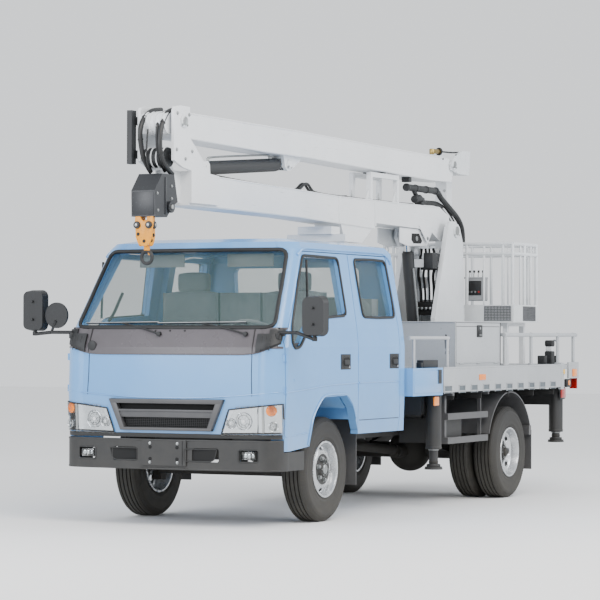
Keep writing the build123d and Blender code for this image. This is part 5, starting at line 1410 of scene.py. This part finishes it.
tubePiece("cabinet_front_edge", [(-2226, 897, 1126), (-2226, 897, 1490), (-2226, -897, 1490), (-2226, -897, 1126)], 6,
    silverPaint, "truck", smooth=False)
tubePiece("cabinet_top_edge", [(-2230, 897, 1490), (-3215, 897, 1490)], 6, silverPaint, "truck", smooth=False)

# rail fittings: collars at the posts and clamps
for s, side in bothSides:
    made = []
    for x in (-3277, -3900, -4560, -4960):
        made.append(roundPiece("collar", (x, s * 915, 1122), (x, s * 915, 1140), 28, silverPaint, "truck", 3, 28))
        made.append(roundPiece("sleeve", (x - 24, s * 915, 1387), (x + 24, s * 915, 1387), 21,
            silverPaint, "truck", 3, 28))
    joined(made, f"rail_collars_{side}")
tubePiece("tail_rail", [(-5020, 915, 1387), (-5022, 905, 1389), (-5022, -905, 1389), (-5020, -915, 1387)], 16,
    silverPaint, "truck", smooth=False)
# stack of control valves at the tail
for name, low, high, finish, edge in (("base", (-4780, 736, 1122), (-4700, 806, 1240), blackPlastic, 8),
        ("ring", (-4775, 742, 1238), (-4712, 800, 1284), whitePaint, 6),
        ("cap", (-4782, 734, 1282), (-4702, 808, 1340), blackPlastic, 14),
        ("side_box", (-4610, 726, 1122), (-4545, 796, 1202), blackPlastic, 6),
        ("rear_box", (-4860, 740, 1122), (-4835, 800, 1200), blackPlastic, 4)):
    blockPiece(f"tail_{name}", low, high, finish, "truck", edge, 3)
tubePiece("tail_rod", [(-4800, 790, 1340), (-4850, 800, 1340), (-4862, 800, 1250), (-4862, 800, 1130)], 6,
    grayPlastic, "truck")

# locker doors, lamp and the black box behind the cab
for s, side in bothSides:
    blockPiece(f"locker_door_{side}", (-1800, s * 958, 925), (-1245, s * 964, 1100), bluePaint, "truck", 3)
    blockPiece(f"step_lamp_{side}", (-1790, s * 960, 994), (-1718, s * 967, 1106), blackPlastic, "truck", 8)
    blockPiece(f"leg_lamp_{side}", (-1782, s * 930, 818), (-1690, s * 948, 892), orangeLens, "truck", 10, 3)
    blockPiece(f"battery_box_{side}", (-1800, s * 872, 1122), (-1500, s * 930, 1184), blackPlastic, "truck", 6)
    blockPiece(f"battery_box_lug_{side}", (-1500, s * 880, 1122), (-1470, s * 926, 1164), blackPlastic, "truck", 4)
    # lever stack behind the hand rail
    roundPiece(f"lever_head_{side}", (-2040, s * 905, 1272), (-2030, s * 905, 1346), 17, blackPlastic, "truck", 6, 32)
    roundPiece(f"lever_collar_{side}", (-2040, s * 905, 1226), (-2040, s * 905, 1254), 19,
        blackPlastic, "truck", 4, 6)
    for i, x in enumerate((-2022, -2056)):
        tubePiece(f"leg_valve_lever_{side}_{i}", [(x, s * 905, 1124), (x, s * 905, 1200), (-2040, s * 905, 1262)],
            5, blackPlastic, "truck")
    tubePiece(f"leg_valve_cable_{side}", [(-2036, s * 905, 1340), (-2030, s * 905, 1372), (-2010, s * 905, 1384)],
        6, blackPlastic, "truck")
    # air tank caps, filters and hoses seen between the guard rails
    for i, (x, z) in enumerate(((-2240, 640), (-2350, 646), (-2450, 652))):
        roundPiece(f"reservoir_{side}_{i}", (x, s * 640, z - 110), (x, s * 640, z + 110), 44,
            castIron, "truck", 16, 40)
        roundPiece(f"reservoir_cap_{side}_{i}", (x, s * 640, z + 104), (x, s * 640, z + 134),
            24, steel, "truck", 4, 24)
        tubePiece(f"reservoir_hose_{side}_{i}",
            [(x, s * 640, z + 130), (x, s * 644, z + 190), (x - 30, s * 600, z + 230), (x - 60, s * 540, z + 210)], 9,
            hoseRubber, "truck")
    roundPiece(f"filter_{side}", (-2560, s * 640, 600), (-2700, s * 640, 560), 46, castIron, "truck", 12, 40)
    tubePiece(f"filter_pipe_{side}", [(-2560, s * 640, 600), (-2500, s * 650, 590), (-2460, s * 650, 560),
        (-2400, s * 640, 540)], 11, steel, "truck")
for s, side in bothSides:
    for place, x, body in (("front", -1850, f"beam_{side}"), ("rear", -4640, "truck")):
        low = 470 if place == "front" else 520
        high = 890 if place == "front" else 1070
        roundPiece(f"{place}_jack_collar_{side}", (x, s * legY, low - 2), (x, s * legY, low + 22),
            65, blackPaint, body, 4, 40)
        roundPiece(f"{place}_jack_ring_{side}", (x, s * legY, low - 12),
            (x, s * legY, low - 2), 42, steel, body, 2, 40)
        roundPiece(f"{place}_jack_head_{side}", (x, s * legY, high), (x, s * legY, high + 14),
            58, blackPaint, body, 5, 40)
        tubePiece(f"{place}_jack_hose_{side}",
            [(x + 10, s * 815, high - 60), (x + 40, s * 790, high - 80), (x + 50, s * 770, high - 20),
            (x + 40, s * 700, high - 10)], 8, hoseRubber, body)
        leg = f"{place}_leg_{side}"
        foot = 305 if place == "front" else 426
        roundPiece(f"{place}_foot_rim_{side}", (x, s * legY, foot), (x, s * legY, foot + 10),
            73, blackPaint, leg, 3, 48)
        roundPiece(f"{place}_foot_cup_{side}", (x, s * legY, foot + 20), (x, s * legY, foot + 44),
            56, blackPaint, leg, 8, 48)
        roundPiece(f"{place}_foot_ball_{side}", (x, s * legY, foot + 40), (x, s * legY, foot + 78),
            38, castIron, leg, 12, 40)
print("deck done")


# every piece goes back into the view
for piece in list(shelf.objects):
    moved(piece, bpy.context.scene.collection)
bpy.data.collections.remove(shelf)

# ---- floor and light
bpy.ops.object.select_all(action="DESELECT")
bpy.ops.mesh.primitive_plane_add(size=80, location=(0, 0, 0))
floor = bpy.context.object
floor.name = "studio_floor"
floorMat = makeFinish("matt white studio floor", "#f4f4f4", "#f1f1f1", (0.75, 0.85), patchScale=0.4)
floor.data.materials.append(floorMat)
world = bpy.data.worlds.new("studio")
bpy.context.scene.world = world
world.use_nodes = True
world.node_tree.nodes["Background"].inputs[0].default_value = hexColor("#f2f5f8")
world.node_tree.nodes["Background"].inputs[1].default_value = 1.3


def softLight(name, place, target, size, power, color):
    data = bpy.data.lights.new(name, "AREA")
    data.shape = "RECTANGLE"
    data.size, data.size_y = size
    data.energy = power
    data.color = hexColor(color)[:3]
    lamp = bpy.data.objects.new(name, data)
    bpy.context.scene.collection.objects.link(lamp)
    aim = (Vector(target) - Vector(place)).to_track_quat("-Z", "Y")
    lamp.matrix_world = Matrix.Translation(Vector(place)) @ aim.to_matrix().to_4x4()


softLight("key light", (7, 7, 9), (0, 0, 1.2), (6, 6), 1100, "#fffaf4")
softLight("front light", (10, -3, 4), (0, 0, 1.2), (4, 4), 420, "#f6f9ff")
softLight("side light", (-3, 9, 5), (-1, 0, 1.2), (6, 4), 480, "#f6faff")
print("stage done")
